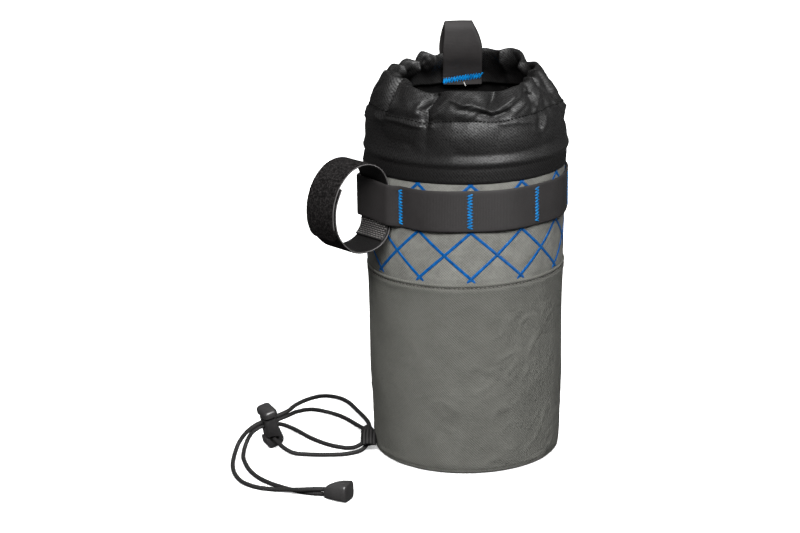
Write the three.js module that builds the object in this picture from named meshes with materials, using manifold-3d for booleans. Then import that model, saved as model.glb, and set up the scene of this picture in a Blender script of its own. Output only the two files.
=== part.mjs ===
// Stem bag for a handlebar, in millimetres with +Z up. The origin is the middle of the base on
// the surface it stands on, and -Y is the front. Angles run round the bag in degrees from the
// front, positive towards +X.
import * as THREE from 'three';
import { mergeVertices } from 'three/addons/utils/BufferGeometryUtils.js';
import Module from 'manifold-3d';

const wasm = await Module();
wasm.setup();

// Clearance between touching pieces, cloth and webbing
const GAP = 0.3;
const PADDED_WALL = 2.4;
const COLLAR_WALL = 1.6;
const WEBBING = { width: 25, thick: 1.4 };

// Base panel
const BASE = { radius: 56.6, thick: 2.6, chamfer: 0.8 };

// Padded body: outer radius of the cloth at each height
const BODY_SIDES = 60;
const SEAM_HEIGHT = 121.4;
const SEAM_RISE = 2.4;
const LOWER_SECTIONS = [
  { z: 0.4, radius: 57.4 },
  { z: 1.8, radius: 58.5 },
  { z: 6, radius: 59.0 },
  { z: 18, radius: 59.5 },
  { z: 34, radius: 60.0 },
  { z: 52, radius: 60.5 },
  { z: 70, radius: 60.5 },
  { z: 88, radius: 60.6 },
  { z: 106, radius: 61.0 },
  { z: SEAM_HEIGHT, radius: 61.4 },
];
const UPPER_SECTIONS = [
  { z: SEAM_HEIGHT + GAP, radius: 61.2 },
  { z: 144, radius: 61.4 },
  { z: 164, radius: 61.9 },
  { z: 185.2, radius: 62.0 },
];

// Soft dents of the lower cloth: middle, half sizes and depth of each
const LOWER_DENTS = [
  { angle: -40, z: 104, across: 14, tall: 14, deep: 0.9 },
  { angle: 34, z: 92, across: 9, tall: 22, deep: 0.8 },
  { angle: 8, z: 60, across: 13, tall: 9, deep: 0.7 },
  { angle: -15, z: 33, across: 12, tall: 13, deep: 0.8 },
  { angle: 46, z: 36, across: 12, tall: 24, deep: 0.9 },
  { angle: 112, z: 72, across: 18, tall: 22, deep: 1.0 },
  { angle: -122, z: 58, across: 18, tall: 20, deep: 1.0 },
  { angle: 176, z: 88, across: 20, tall: 18, deep: 0.9 },
];

// Collar: outer radius at each height, how much of the gathers and of the rim's tilt it shows
const COLLAR_SIDES = 80;
const COLLAR_SECTIONS = [
  { z: 185.5, radius: 62.6, gather: 0, tilt: 0 },
  { z: 189.5, radius: 62.8, gather: 0, tilt: 0 },
  { z: 194, radius: 63.7, gather: 0, tilt: 0 },
  { z: 198.5, radius: 62.2, gather: 0.1, tilt: 0 },
  { z: 205, radius: 60.8, gather: 0.2, tilt: 0 },
  { z: 212, radius: 61.2, gather: 0.35, tilt: 0 },
  { z: 218, radius: 59.8, gather: 0.3, tilt: 0 },
  { z: 222, radius: 57.6, gather: 0.3, tilt: 0.1 },
  { z: 227, radius: 57.0, gather: 0.7, tilt: 0.3 },
  { z: 234, radius: 53.6, gather: 1, tilt: 0.7 },
  { z: 239.5, radius: 50.4, gather: 1, tilt: 1 },
];
const RIM = { z: 241.6, inset: 1.2, tilt: 3.2, dip: 0.5 };
const GATHERS = [
  { angle: -57, across: 6, deep: 3.2 },
  { angle: -23, across: 6, deep: 3.0 },
  { angle: 18, across: 7, deep: 2.8 },
  { angle: 47, across: 5, deep: 1.8 },
  { angle: 67, across: 7, deep: 2.6 },
  { angle: 96, across: 8, deep: 2.8 },
  { angle: 124, across: 6, deep: 2.8 },
  { angle: 154, across: 5, deep: 2.2 },
  { angle: -94, across: 7, deep: 2.8 },
  { angle: -116, across: 6, deep: 2.6 },
  { angle: -138, across: 5, deep: 2.6 },
  { angle: -156, across: 5, deep: 2.0 },
];

// Webbing band: tacked down at equal steps, a little slack between the tacks
const BAND = { bottom: 156, loops: 9, firstTack: 2.8, slack: 1.2, sidesPerLoop: 8 };

// Hook-and-loop strap: a ring in the upright plane that faces STRAP.angle
const STRAP = { angle: -48, width: 25, nearEdge: -3, thick: 1.5, steps: 60 };
const STRAP_BACK = 63.3;
const STRAP_RING = [
  { out: 103.2, up: 152.5 },
  { out: 106.4, up: 162 },
  { out: 106.0, up: 174 },
  { out: 101.0, up: 185.5 },
  { out: 91.5, up: 193.8 },
  { out: 80.0, up: 195.8 },
  { out: 70.0, up: 191.5 },
  { out: 64.9, up: 184 },
  { out: STRAP_BACK, up: 176 },
  { out: STRAP_BACK, up: 156.5 },
  { out: 65.4, up: 149.6 },
  { out: 71.2, up: 144.6 },
  { out: 80.5, up: 142.4 },
  { out: 92.0, up: 144.6 },
];
const STRAP_OVERLAP_ROWS = 4;
const STRAP_CENTRE = { out: 84, up: 169 };
const GRIP = { thick: 1.0, bottom: 148.4, top: 173 };

// Pull loop: folded webbing over the back of the rim, narrower at its fold. The first rows are
// the leg inside the mouth, and left and right are its edges along x.
const PULL_LOOP = { columns: 5, steps: 28 };
const PULL_LOOP_PATH = [
  { back: 54.6, up: 220, left: -13.2, right: 11.3 },
  { back: 54.4, up: 227, left: -13.4, right: 11.4 },
  { back: 51.6, up: 234, left: -13.2, right: 11.6 },
  { back: 48.2, up: 240.6, left: -13.0, right: 11.7 },
  { back: 46.5, up: 247.5, left: -12.8, right: 11.7 },
  { back: 46.1, up: 254.4, left: -12.1, right: 9.3 },
  { back: 46.6, up: 260.4, left: -11.9, right: 6.8 },
  { back: 48.6, up: 263.4, left: -11.9, right: 5.6 },
  { back: 51.4, up: 261.2, left: -12.6, right: 6.6 },
  { back: 53.8, up: 255, left: -14.4, right: 9.6 },
  { back: 55.0, up: 246.5, left: -15.6, right: 11.9 },
  { back: 55.7, up: 238, left: -15.0, right: 11.2 },
  { back: 57.3, up: 230, left: -14.2, right: 10.8 },
];

// Cord tab: short folded webbing at the bottom edge
const TAB = { angle: -85, width: 12, thick: 1.2, steps: 14 };
const TAB_PATH = [
  { out: 59.9, up: 10.7 },
  { out: 63.4, up: 10.5 },
  { out: 66.4, up: 8.6 },
  { out: 67.2, up: 5.8 },
  { out: 66.2, up: 2.8 },
  { out: 63.2, up: 1.3 },
  { out: 59.2, up: 1.1 },
];

// Cord lock: leans on its hook. Sizes are in its own frame, with z along its axis and x along the
// strands that it holds.
const LOCK_PLACE = { x: -124, y: -7.8, lift: 1.3, tip: 9, lean: -12, turn: 30 };
const BARREL = [
  { z: 8.5, left: -3.9, right: 5.7, depth: 8.2, corner: 1.4 },
  { z: 12.5, left: -4.0, right: 5.0, depth: 9.2, corner: 1.8 },
  { z: 21.2, left: -4.0, right: 4.1, depth: 11.4, corner: 2.4 },
];
const BARREL_FLOOR = 2;
const HOOK_THICK = 8.2;
const HOOK_SLOT = [[0.6, 7.2, 5], [0.6, -7.2, 5]];
const STRANDS = { upper: 19, lower: 16, reach: [-7.5, -4.9, 4.9, 7.5] };
const BUTTON = { travel: 1.6, stem: 5.2 };
const CAP = [
  { z: 23.1, left: -4.3, right: 4.3, depth: 12.6, corner: 2.4 },
  { z: 23.7, left: -4.9, right: 4.9, depth: 13.8, corner: 2.9 },
  { z: 26.4, left: -4.9, right: 4.9, depth: 13.8, corner: 2.9 },
  { z: 27.6, left: -4.2, right: 4.2, depth: 12.4, corner: 2.4 },
  { z: 28.1, left: -3.2, right: 3.2, depth: 10.4, corner: 1.9 },
];
const WINDOW = { depth: 3.4, bottom: 14.4, top: 20.6 };

// Cord end: flared moulding lying on the surface
const CORD_END = { x: -84.2, y: -93.0, turn: -24, lift: 0.1, sides: 16 };
const CORD_END_SECTIONS = [
  { along: 0, width: 7.2, height: 6.8 },
  { along: 0.8, width: 8.4, height: 7.6 },
  { along: 5, width: 10.8, height: 9.6 },
  { along: 10, width: 12.6, height: 11.0 },
  { along: 14.6, width: 13.2, height: 11.6 },
  { along: 15.6, width: 12.0, height: 10.8 },
];

// Shock cord: one length, from the cord end through the lock and the tab and back
const CORD = { diameter: 2.6, sides: 8, steps: 84 };
const CORD_END_TO_LOCK = [
  [-85.1, -92.6, 4.9],
  [-92.2, -92.2, 4.8],
  [-100.1, -91.6, 4.2],
  [-107.7, -88.2, 2.8],
  [-116.0, -84.8, 1.6],
  [-126.4, -81.4, 1.5],
  [-136.0, -73.6, 1.5],
  [-142.1, -61.9, 1.5],
  [-145.6, -47.0, 1.5],
  [-146.6, -33.0, 1.5],
  [-146.2, -24.6, 3.0],
  [-144.4, -19.8, 6.8],
  [-141.0, -18.4, 11.6],
  [-136.6, -17.8, 15.8],
];
const LOCK_TO_TAB = [
  [-116.0, -6.2, 22.0],
  [-113.2, -1.2, 22.0],
  [-111.8, 7.0, 20.9],
  [-109.9, 19.0, 18.5],
  [-106.9, 35.3, 14.8],
  [-102.3, 54.0, 10.2],
  [-98.2, 67.6, 6.4],
  [-92.6, 76.0, 3.4],
  [-85.6, 76.6, 1.7],
  [-79.4, 68.6, 1.5],
  [-73.6, 55.0, 1.5],
  [-66.1, 33.3, 2.6],
  [-63.0, 12.0, 6.2],
  [-62.3, -5.0, 7.5],
  [-62.7, -12.6, 7.1],
];
const TAB_TO_HOOK = [
  [-65.2, -16.8, 5.6],
  [-70.4, -18.0, 2.9],
  [-77.0, -15.8, 1.5],
  [-87.2, -10.6, 1.5],
  [-99.5, 1.1, 1.5],
  [-107.6, 12.0, 1.5],
  [-113.6, 18.6, 2.0],
  [-120.2, 21.2, 3.6],
  [-126.4, 18.2, 5.4],
  [-129.8, 11.2, 6.9],
  [-130.2, 3.8, 7.6],
];
const HOOK_TO_TAB = [
  [-115.6, -21.6, 3.8],
  [-109.4, -25.4, 2.0],
  [-101.0, -26.8, 1.5],
  [-88.7, -27.6, 1.5],
  [-76.1, -26.4, 1.5],
  [-66.8, -20.8, 1.8],
  [-62.6, -12.6, 3.9],
];
const TAB_TO_LOCK = [
  [-62.4, -4.0, 4.4],
  [-64.8, 10.0, 3.3],
  [-71.5, 23.6, 2.2],
  [-80.3, 38.6, 1.5],
  [-87.6, 46.0, 1.6],
  [-94.8, 47.6, 3.0],
  [-100.6, 42.4, 6.0],
  [-105.2, 32.5, 9.6],
  [-108.6, 21.0, 13.0],
  [-111.2, 9.0, 16.3],
  [-112.9, 0.6, 18.2],
  [-115.6, -5.2, 18.9],
];
const LOCK_TO_CORD_END = [
  [-135.4, -16.8, 13.2],
  [-138.2, -17.2, 9.6],
  [-140.0, -18.6, 5.8],
  [-141.0, -23.0, 2.6],
  [-140.8, -30.0, 1.5],
  [-139.0, -39.0, 1.5],
  [-134.4, -53.2, 1.5],
  [-127.4, -66.0, 1.5],
  [-118.9, -75.5, 1.5],
  [-111.3, -81.5, 1.5],
  [-104.3, -86.0, 1.5],
  [-97.4, -89.5, 1.5],
  [-90.6, -91.4, 1.6],
  [-85.1, -92.6, 1.8],
];

const FINISH = {
  base: { color: 0x5a5a57, roughness: 0.85, metalness: 0 },
  lower: { color: 0x6c6c68, roughness: 0.85, metalness: 0 },
  upper: { color: 0x92928d, roughness: 0.85, metalness: 0 },
  collar: { color: 0x2a2829, roughness: 0.6, metalness: 0 },
  webbing: { color: 0x333233, roughness: 0.7, metalness: 0 },
  strap: { color: 0x252323, roughness: 0.95, metalness: 0 },
  grip: { color: 0x3a3838, roughness: 0.6, metalness: 0 },
  cord: { color: 0x2c2a2b, roughness: 0.8, metalness: 0 },
  moulding: { color: 0x2f2e2f, roughness: 0.45, metalness: 0 },
};

// Vectors and angles
const radians = THREE.MathUtils.degToRad;

function roundBag(angle, radius, z) {
  const turn = radians(angle);
  return new THREE.Vector3(radius * Math.sin(turn), -radius * Math.cos(turn), z);
}

function angleBetween(a, b) {
  return THREE.MathUtils.euclideanModulo(a - b + 180, 360) - 180;
}

function mound(distance, half) {
  return Math.exp(-((distance / half) ** 2));
}

// Upright plane that faces an angle: out from the bag's axis, up, and across towards -angle
function facingPlane(angle) {
  const outward = roundBag(angle, 1, 0);
  const sideways = roundBag(angle - 90, 1, 0);
  return (out, up, across) => new THREE.Vector3(0, 0, up)
    .addScaledVector(outward, out)
    .addScaledVector(sideways, across);
}

// Closed skin over rings of points, which join into a loop or end in caps
function skin(rings, looped) {
  const size = rings[0].length;
  const triangles = [];
  const bands = looped ? rings.length : rings.length - 1;
  for (let i = 0; i < bands; i += 1) {
    const here = i * size;
    const next = ((i + 1) % rings.length) * size;
    for (let j = 0; j < size; j += 1) {
      const k = (j + 1) % size;
      triangles.push(here + j, next + j, next + k, here + j, next + k, here + k);
    }
  }
  if (!looped) {
    const last = (rings.length - 1) * size;
    for (let j = 0; j < size / 2 - 1; j += 1) {
      const far = size - 1 - j;
      triangles.push(j, j + 1, far - 1, j, far - 1, far);
      triangles.push(last + j, last + far - 1, last + j + 1, last + j, last + far, last + far - 1);
    }
  }
  return outward(rings.flat(), triangles);
}

// Geometry whose triangles face out, whichever way round its rings ran
function outward(points, triangles) {
  let volume = 0;
  const normal = new THREE.Vector3();
  for (let i = 0; i < triangles.length; i += 3) {
    const [a, b, c] = [0, 1, 2].map((corner) => points[triangles[i + corner]]);
    volume += a.dot(normal.crossVectors(b, c));
  }
  const facing = volume < 0 ? [...triangles].reverse() : triangles;
  const geometry = new THREE.BufferGeometry().setFromPoints(points);
  geometry.setIndex(facing);
  geometry.computeVertexNormals();
  return geometry;
}

// Cloth tube: a closed outline of radius and height, swept round the bag
function clothTube(outlineAt, sides) {
  const rings = [];
  for (let i = 0; i < sides; i += 1) {
    const angle = (360 * i) / sides;
    rings.push(outlineAt(angle).map(({ radius, z }) => roundBag(angle, radius, z)));
  }
  return skin(rings, true);
}

// Flat strip along a plane path, with its two edges to the left and right of the plane
function strip({ path, thick, edgesAt, columns, place }) {
  const rings = path.map((point, i) => {
    const before = path[Math.max(i - 1, 0)];
    const after = path[Math.min(i + 1, path.length - 1)];
    const along = after.clone().sub(before).normalize();
    const normal = new THREE.Vector2(-along.y, along.x).multiplyScalar(thick / 2);
    const [left, right] = edgesAt(i);
    const across = Array.from({ length: columns }, (_, c) => {
      return THREE.MathUtils.lerp(left, right, c / (columns - 1));
    });
    const outer = across.map((a) => place(point.x + normal.x, point.y + normal.y, a));
    const inner = across.map((a) => place(point.x - normal.x, point.y - normal.y, a));
    return [...outer, ...inner.reverse()];
  });
  return skin(rings, false);
}

// Booleans on closed geometry
function solid(geometry) {
  const bare = new THREE.BufferGeometry();
  bare.setAttribute('position', geometry.getAttribute('position'));
  bare.setIndex(geometry.getIndex());
  const merged = mergeVertices(bare, 1e-4);
  const vertProperties = new Float32Array(merged.getAttribute('position').array);
  const triVerts = new Uint32Array(merged.getIndex().array);
  return new wasm.Manifold(new wasm.Mesh({ numProp: 3, vertProperties, triVerts }));
}

function geometryOf(manifold) {
  const mesh = manifold.getMesh();
  const geometry = new THREE.BufferGeometry();
  geometry.setAttribute('position', new THREE.Float32BufferAttribute(mesh.vertProperties, 3));
  geometry.setIndex(Array.from(mesh.triVerts));
  geometry.computeVertexNormals();
  return geometry;
}

// Block with rounded upright edges, through its sections along z
const CORNER_STEPS = 4;

function roundedBlock(sections) {
  const corners = [[1, 1], [-1, 1], [-1, -1], [1, -1]];
  const rings = sections.map(({ z, left, right, depth, corner }) => {
    return corners.flatMap(([side, face], quarter) => {
      const x = side > 0 ? right - corner : left + corner;
      const y = face * (depth / 2 - corner);
      return Array.from({ length: CORNER_STEPS + 1 }, (_, i) => {
        const turn = (Math.PI / 2) * (quarter + i / CORNER_STEPS);
        return new THREE.Vector3(x + corner * Math.cos(turn), y + corner * Math.sin(turn), z);
      });
    });
  });
  return skin(rings, false);
}

function box(width, depth, bottom, top) {
  return new THREE.BoxGeometry(width, depth, top - bottom).translate(0, 0, (top + bottom) / 2);
}

// Base: a disc with a small chamfer where it meets the surface
function basePanel() {
  const { radius, thick, chamfer } = BASE;
  const outline = [[0, 0], [radius - chamfer, 0], [radius, chamfer], [radius, thick], [0, thick]];
  const profile = outline.map(([r, z]) => new THREE.Vector2(r, z));
  return new THREE.LatheGeometry(profile, BODY_SIDES).rotateX(Math.PI / 2);
}

// Padded body: the seam between its two cloths rises towards +X
function dentDepth(angle, z) {
  return LOWER_DENTS.reduce((sum, dent) => {
    const here = mound(angleBetween(angle, dent.angle), dent.across) * mound(z - dent.z, dent.tall);
    return sum + dent.deep * here;
  }, 0);
}

function seamShare(z, from) {
  return THREE.MathUtils.clamp((z - from) / (SEAM_HEIGHT - from), 0, 1);
}

function clothOutside(sections, flatEnd, angle) {
  const rise = SEAM_RISE * Math.sin(radians(angle));
  return sections.map(({ z, radius }) => ({
    radius: radius - dentDepth(angle, z),
    z: z + rise * seamShare(z, flatEnd),
  }));
}

function lowerBody() {
  const roundBase = BASE.radius + GAP;
  return clothTube((angle) => {
    const outside = clothOutside(LOWER_SECTIONS, BASE.thick, angle);
    const inside = outside.map(({ radius, z }) => ({
      radius: z < BASE.thick ? roundBase : radius - PADDED_WALL,
      z,
    }));
    return [...outside, ...inside.reverse()];
  }, BODY_SIDES);
}

function upperBody() {
  const flatEnd = UPPER_SECTIONS.at(-1).z;
  return clothTube((angle) => {
    const outside = clothOutside(UPPER_SECTIONS, flatEnd, angle);
    const inside = outside.map(({ radius, z }) => ({ radius: radius - PADDED_WALL, z }));
    return [...outside, ...inside.reverse()];
  }, BODY_SIDES);
}

// Collar: hem, throat and gathered casing in one cloth, turned over at the rim
function gatherDepth(angle) {
  return GATHERS.reduce((sum, fold) => {
    return sum + fold.deep * mound(angleBetween(angle, fold.angle), fold.across);
  }, 0);
}

function collar() {
  return clothTube((angle) => {
    const fold = gatherDepth(angle);
    const tilt = -RIM.tilt * Math.cos(radians(angle)) - RIM.dip * fold;
    const outer = COLLAR_SECTIONS.map((row) => ({
      radius: row.radius - fold * row.gather,
      z: row.z + tilt * row.tilt,
    }));
    const inner = outer.map(({ radius, z }) => ({ radius: radius - COLLAR_WALL, z }));
    const rim = { radius: outer.at(-1).radius - RIM.inset, z: RIM.z + tilt };
    return [...outer, rim, ...inner.reverse()];
  }, COLLAR_SIDES);
}

// Webbing band: flat over the strap, slack between the other tacks
const bandSeat = UPPER_SECTIONS.at(-1).radius + GAP;
const bandOverStrap = STRAP_BACK + STRAP.thick / 2 + GRIP.thick + 2 * GAP;

function strapEdgeAngle(across) {
  return STRAP.angle - THREE.MathUtils.radToDeg(Math.atan2(across, bandOverStrap));
}

function overStrap(angle) {
  return { angle, radius: bandOverStrap / Math.cos(radians(angle - STRAP.angle)) };
}

function bandStations() {
  const pitch = 360 / BAND.loops;
  const stations = [];
  for (let loop = 0; loop < BAND.loops; loop += 1) {
    const tack = BAND.firstTack + loop * pitch;
    stations.push({ angle: tack, radius: bandSeat });
    if (Math.abs(angleBetween(tack + pitch / 2, STRAP.angle)) < pitch / 2) {
      const far = strapEdgeAngle(STRAP.nearEdge + STRAP.width + 1);
      const near = strapEdgeAngle(STRAP.nearEdge - 1);
      stations.push(overStrap(far), overStrap((far + near) / 2), overStrap(near));
    } else {
      for (let side = 1; side < BAND.sidesPerLoop; side += 1) {
        const share = side / BAND.sidesPerLoop;
        const radius = bandSeat + BAND.slack * Math.sin(Math.PI * share) ** 2;
        stations.push({ angle: tack + share * pitch, radius });
      }
    }
  }
  return stations;
}

function webbingBand() {
  const top = BAND.bottom + WEBBING.width;
  const rings = bandStations().map(({ angle, radius }) => [
    roundBag(angle, radius + WEBBING.thick, BAND.bottom),
    roundBag(angle, radius + WEBBING.thick, top),
    roundBag(angle, radius, top),
    roundBag(angle, radius, BAND.bottom),
  ]);
  return skin(rings, true);
}

// Strap: its end runs up inside the first rows of the ring and presses on them
function strapPath() {
  const rows = STRAP_RING.map(({ out, up }) => new THREE.Vector2(out, up));
  const centre = new THREE.Vector2(STRAP_CENTRE.out, STRAP_CENTRE.up);
  const inside = rows.slice(0, STRAP_OVERLAP_ROWS).map((row) => {
    const inward = centre.clone().sub(row).setLength(STRAP.thick + 2 * GAP);
    return row.clone().add(inward);
  });
  return new THREE.SplineCurve([...rows, ...inside]).getSpacedPoints(STRAP.steps);
}

const strapPlane = facingPlane(STRAP.angle);

function strapStrip(path, thick) {
  return strip({
    path,
    thick,
    edgesAt: () => [STRAP.nearEdge, STRAP.nearEdge + STRAP.width],
    columns: 2,
    place: strapPlane,
  });
}

function strap() {
  return strapStrip(strapPath(), STRAP.thick);
}

function strapGrip() {
  const path = strapPath();
  const lift = (STRAP.thick + GRIP.thick) / 2 + GAP;
  const lifted = path.map((point, i) => {
    const before = path[Math.max(i - 1, 0)];
    const after = path[Math.min(i + 1, path.length - 1)];
    const along = after.clone().sub(before).normalize();
    return new THREE.Vector2(point.x - along.y * lift, point.y + along.x * lift);
  });
  const onBack = lifted.filter(({ x, y }) => x < STRAP_CENTRE.out && y > GRIP.bottom && y < GRIP.top);
  return strapStrip(onBack, GRIP.thick);
}

// Pull loop: both legs follow the round of the collar, the fold is nearly flat
function pullLoop() {
  const rows = PULL_LOOP_PATH.map(({ back, up }) => new THREE.Vector2(back, up));
  const edges = PULL_LOOP_PATH.map(({ left, right }) => new THREE.Vector2(left, right));
  const edgeSteps = new THREE.SplineCurve(edges).getPoints(PULL_LOOP.steps);
  return strip({
    path: new THREE.SplineCurve(rows).getPoints(PULL_LOOP.steps),
    thick: WEBBING.thick,
    edgesAt: (i) => edgeSteps[i].toArray(),
    columns: PULL_LOOP.columns,
    place: (back, up, x) => new THREE.Vector3(x, Math.sqrt(back ** 2 - x ** 2), up),
  });
}

// Cord tab
function cordTab() {
  const rows = TAB_PATH.map(({ out, up }) => new THREE.Vector2(out, up));
  return strip({
    path: new THREE.SplineCurve(rows).getPoints(TAB.steps),
    thick: TAB.thick,
    edgesAt: () => [-TAB.width / 2, TAB.width / 2],
    columns: 2,
    place: facingPlane(TAB.angle),
  });
}

// Cord lock
function lockFrame() {
  const frame = new THREE.Group();
  const { x, y, lift, tip, lean, turn } = LOCK_PLACE;
  frame.position.set(x, y, lift);
  frame.rotation.set(radians(tip), radians(lean), radians(turn), 'ZYX');
  frame.updateMatrix();
  return frame;
}

function hookPlate() {
  const shape = new THREE.Shape();
  shape.moveTo(5.0, 12);
  shape.lineTo(6.5, 5.2);
  shape.quadraticCurveTo(6.9, 1.0, 3.6, 0.2);
  shape.lineTo(-2.4, 0);
  shape.quadraticCurveTo(-4.2, 0.2, -4.6, 2.0);
  shape.lineTo(-5.0, 6.2);
  shape.quadraticCurveTo(-4.8, 7.4, -3.6, 7.2);
  shape.quadraticCurveTo(-2.6, 6.8, -2.4, 5.4);
  shape.quadraticCurveTo(-2.2, 3.2, -0.8, 3.1);
  shape.lineTo(1.8, 3.0);
  shape.quadraticCurveTo(3.8, 3.2, 3.8, 5.2);
  shape.quadraticCurveTo(3.8, 7.4, 1.4, 7.6);
  shape.lineTo(-2.6, 8.7);
  shape.lineTo(-2.6, 12);
  const plate = new THREE.ExtrudeGeometry(shape, {
    depth: HOOK_THICK,
    curveSegments: 4,
    bevelEnabled: false,
  });
  return plate.rotateX(Math.PI / 2).translate(0, HOOK_THICK / 2, 0);
}

const boreFloor = BARREL[0].z + BARREL_FLOOR;
const capBottom = CAP[0].z;
const capTop = CAP.at(-1).z;

function lockBody() {
  const bore = box(BUTTON.stem + 2 * GAP, BUTTON.stem + 2 * GAP, boreFloor, capTop);
  const hole = box(3 * HOOK_THICK, WINDOW.depth, WINDOW.bottom, WINDOW.top);
  const outside = solid(roundedBlock(BARREL)).add(solid(hookPlate()));
  return geometryOf(outside.subtract(solid(bore)).subtract(solid(hole)));
}

function lockButton() {
  const stemBottom = boreFloor + BUTTON.travel + GAP;
  const stem = box(BUTTON.stem, BUTTON.stem, stemBottom, (capBottom + capTop) / 2);
  const window = box(3 * HOOK_THICK, WINDOW.depth, WINDOW.bottom, WINDOW.top + BUTTON.travel);
  return geometryOf(solid(roundedBlock(CAP)).add(solid(stem)).subtract(solid(window)));
}

// Cord end: rounded sections that flare, with their undersides on the surface
function cordEnd() {
  const rings = CORD_END_SECTIONS.map(({ along, width, height }) => {
    return Array.from({ length: CORD_END.sides }, (_, i) => {
      const turn = (2 * Math.PI * i) / CORD_END.sides;
      const across = Math.sign(Math.cos(turn)) * Math.sqrt(Math.abs(Math.cos(turn)));
      const upright = Math.sign(Math.sin(turn)) * Math.sqrt(Math.abs(Math.sin(turn)));
      return new THREE.Vector3(along, (across * width) / 2, ((upright + 1) * height) / 2);
    });
  });
  return skin(rings, false);
}

// Shock cord: straight through the lock's hole, twice, and once round its hook
function strandThroughLock(height, direction) {
  const frame = lockFrame();
  return STRANDS.reach.map((x) => {
    return new THREE.Vector3(x * direction, 0, height).applyMatrix4(frame.matrix);
  });
}

function strandThroughHook() {
  const frame = lockFrame();
  return HOOK_SLOT.map((point) => new THREE.Vector3(...point).applyMatrix4(frame.matrix));
}

function cord() {
  const points = (list) => list.map((point) => new THREE.Vector3(...point));
  const route = new THREE.CatmullRomCurve3([
    ...points(CORD_END_TO_LOCK),
    ...strandThroughLock(STRANDS.upper, 1),
    ...points(LOCK_TO_TAB),
    ...points(TAB_TO_HOOK),
    ...strandThroughHook(),
    ...points(HOOK_TO_TAB),
    ...points(TAB_TO_LOCK),
    ...strandThroughLock(STRANDS.lower, -1),
    ...points(LOCK_TO_CORD_END),
  ], false, 'centripetal');
  const section = new THREE.Shape();
  for (let i = 0; i < CORD.sides; i += 1) {
    const turn = (2 * Math.PI * i) / CORD.sides;
    const corner = [Math.cos(turn), Math.sin(turn)].map((part) => (part * CORD.diameter) / 2);
    if (i === 0) section.moveTo(...corner);
    else section.lineTo(...corner);
  }
  section.closePath();
  return new THREE.ExtrudeGeometry(section, { steps: CORD.steps, extrudePath: route });
}

// The assembly
function part(name, geometry, finish) {
  const mesh = new THREE.Mesh(geometry, new THREE.MeshStandardMaterial(finish));
  mesh.name = name;
  return mesh;
}

const bag = new THREE.Group();
bag.add(
  part('base_panel', basePanel(), FINISH.base),
  part('lower_body', lowerBody(), FINISH.lower),
  part('upper_body', upperBody(), FINISH.upper),
  part('collar', collar(), FINISH.collar),
  part('webbing_band', webbingBand(), FINISH.webbing),
  part('strap', strap(), FINISH.strap),
  part('strap_grip', strapGrip(), FINISH.grip),
  part('pull_loop', pullLoop(), FINISH.webbing),
  part('cord_tab', cordTab(), FINISH.webbing),
  part('cord', cord(), FINISH.cord),
);

const lock = lockFrame();
lock.add(
  part('cord_lock_body', lockBody(), FINISH.moulding),
  part('cord_lock_button', lockButton(), FINISH.moulding),
);
bag.add(lock);

const endPiece = part('cord_end', cordEnd(), FINISH.moulding);
endPiece.position.set(CORD_END.x, CORD_END.y, CORD_END.lift);
endPiece.rotation.z = radians(CORD_END.turn);
bag.add(endPiece);

export default bag;
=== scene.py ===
# Stem bag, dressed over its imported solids. Tables are in millimetres and the scene is in metres.
# Angles run round the bag in degrees from the front, positive towards +X.
import math

import bmesh
import bpy
from mathutils import Matrix, Vector, noise


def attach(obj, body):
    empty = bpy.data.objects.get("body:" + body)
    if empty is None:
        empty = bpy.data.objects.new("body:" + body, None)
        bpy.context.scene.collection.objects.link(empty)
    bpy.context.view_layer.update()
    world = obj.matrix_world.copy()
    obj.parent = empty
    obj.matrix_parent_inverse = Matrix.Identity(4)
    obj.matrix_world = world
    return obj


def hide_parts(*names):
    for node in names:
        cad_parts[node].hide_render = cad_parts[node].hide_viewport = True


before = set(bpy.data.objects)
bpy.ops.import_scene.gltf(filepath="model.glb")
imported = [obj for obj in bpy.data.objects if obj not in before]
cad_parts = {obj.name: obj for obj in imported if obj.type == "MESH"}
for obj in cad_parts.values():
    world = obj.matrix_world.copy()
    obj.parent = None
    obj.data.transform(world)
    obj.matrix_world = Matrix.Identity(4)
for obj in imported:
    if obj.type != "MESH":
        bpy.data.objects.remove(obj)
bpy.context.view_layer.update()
MM = 0.001
UP = Vector((0, 0, 1))


# Camera, floor and light

CAMERA_PLACE, CAMERA_TURNS = (0, -1.232, 0.474), (16.16, -1.90, 0.94)
CAMERA_LENS, SENSOR_WIDTH = 91.98, 36
WORLD_STRENGTH, FLOOR_SIZE, FLOOR_GLOW = 0.1, 14, 0.36
LIGHTS = (
    ("overhead", (0.3, 1.7, 3.4), (0.3, 1.7, 0), (7, 7), 120),
    ("front", (0.1, -2.0, 1.9), (0, 0, 0.12), (3.0, 0.8), 184),
    ("shine", (1.0, -1.9, 1.95), (0, 0, 0.12), (1.6, 0.8), 182),
    ("rear", (-0.3, 2.5, 1.7), (0, 0, 0.14), (2.0, 1.4), 70),
)


def set_camera():
    pitch, yaw, roll = (math.radians(turn) for turn in CAMERA_TURNS)
    ahead = Vector((math.sin(yaw) * math.cos(pitch), math.cos(yaw) * math.cos(pitch), -math.sin(pitch)))
    level = Vector((math.cos(yaw), -math.sin(yaw), 0))
    upright = level.cross(ahead)
    right = math.cos(roll) * level - math.sin(roll) * upright
    top = math.sin(roll) * level + math.cos(roll) * upright
    turned = Matrix((right, top, -ahead)).transposed().to_4x4()
    bpy.ops.object.camera_add()
    camera = bpy.context.object
    camera.name = "camera"
    camera.data.sensor_width = SENSOR_WIDTH
    camera.data.lens = CAMERA_LENS
    camera.matrix_world = Matrix.Translation(CAMERA_PLACE) @ turned
    bpy.context.scene.camera = camera


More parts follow.
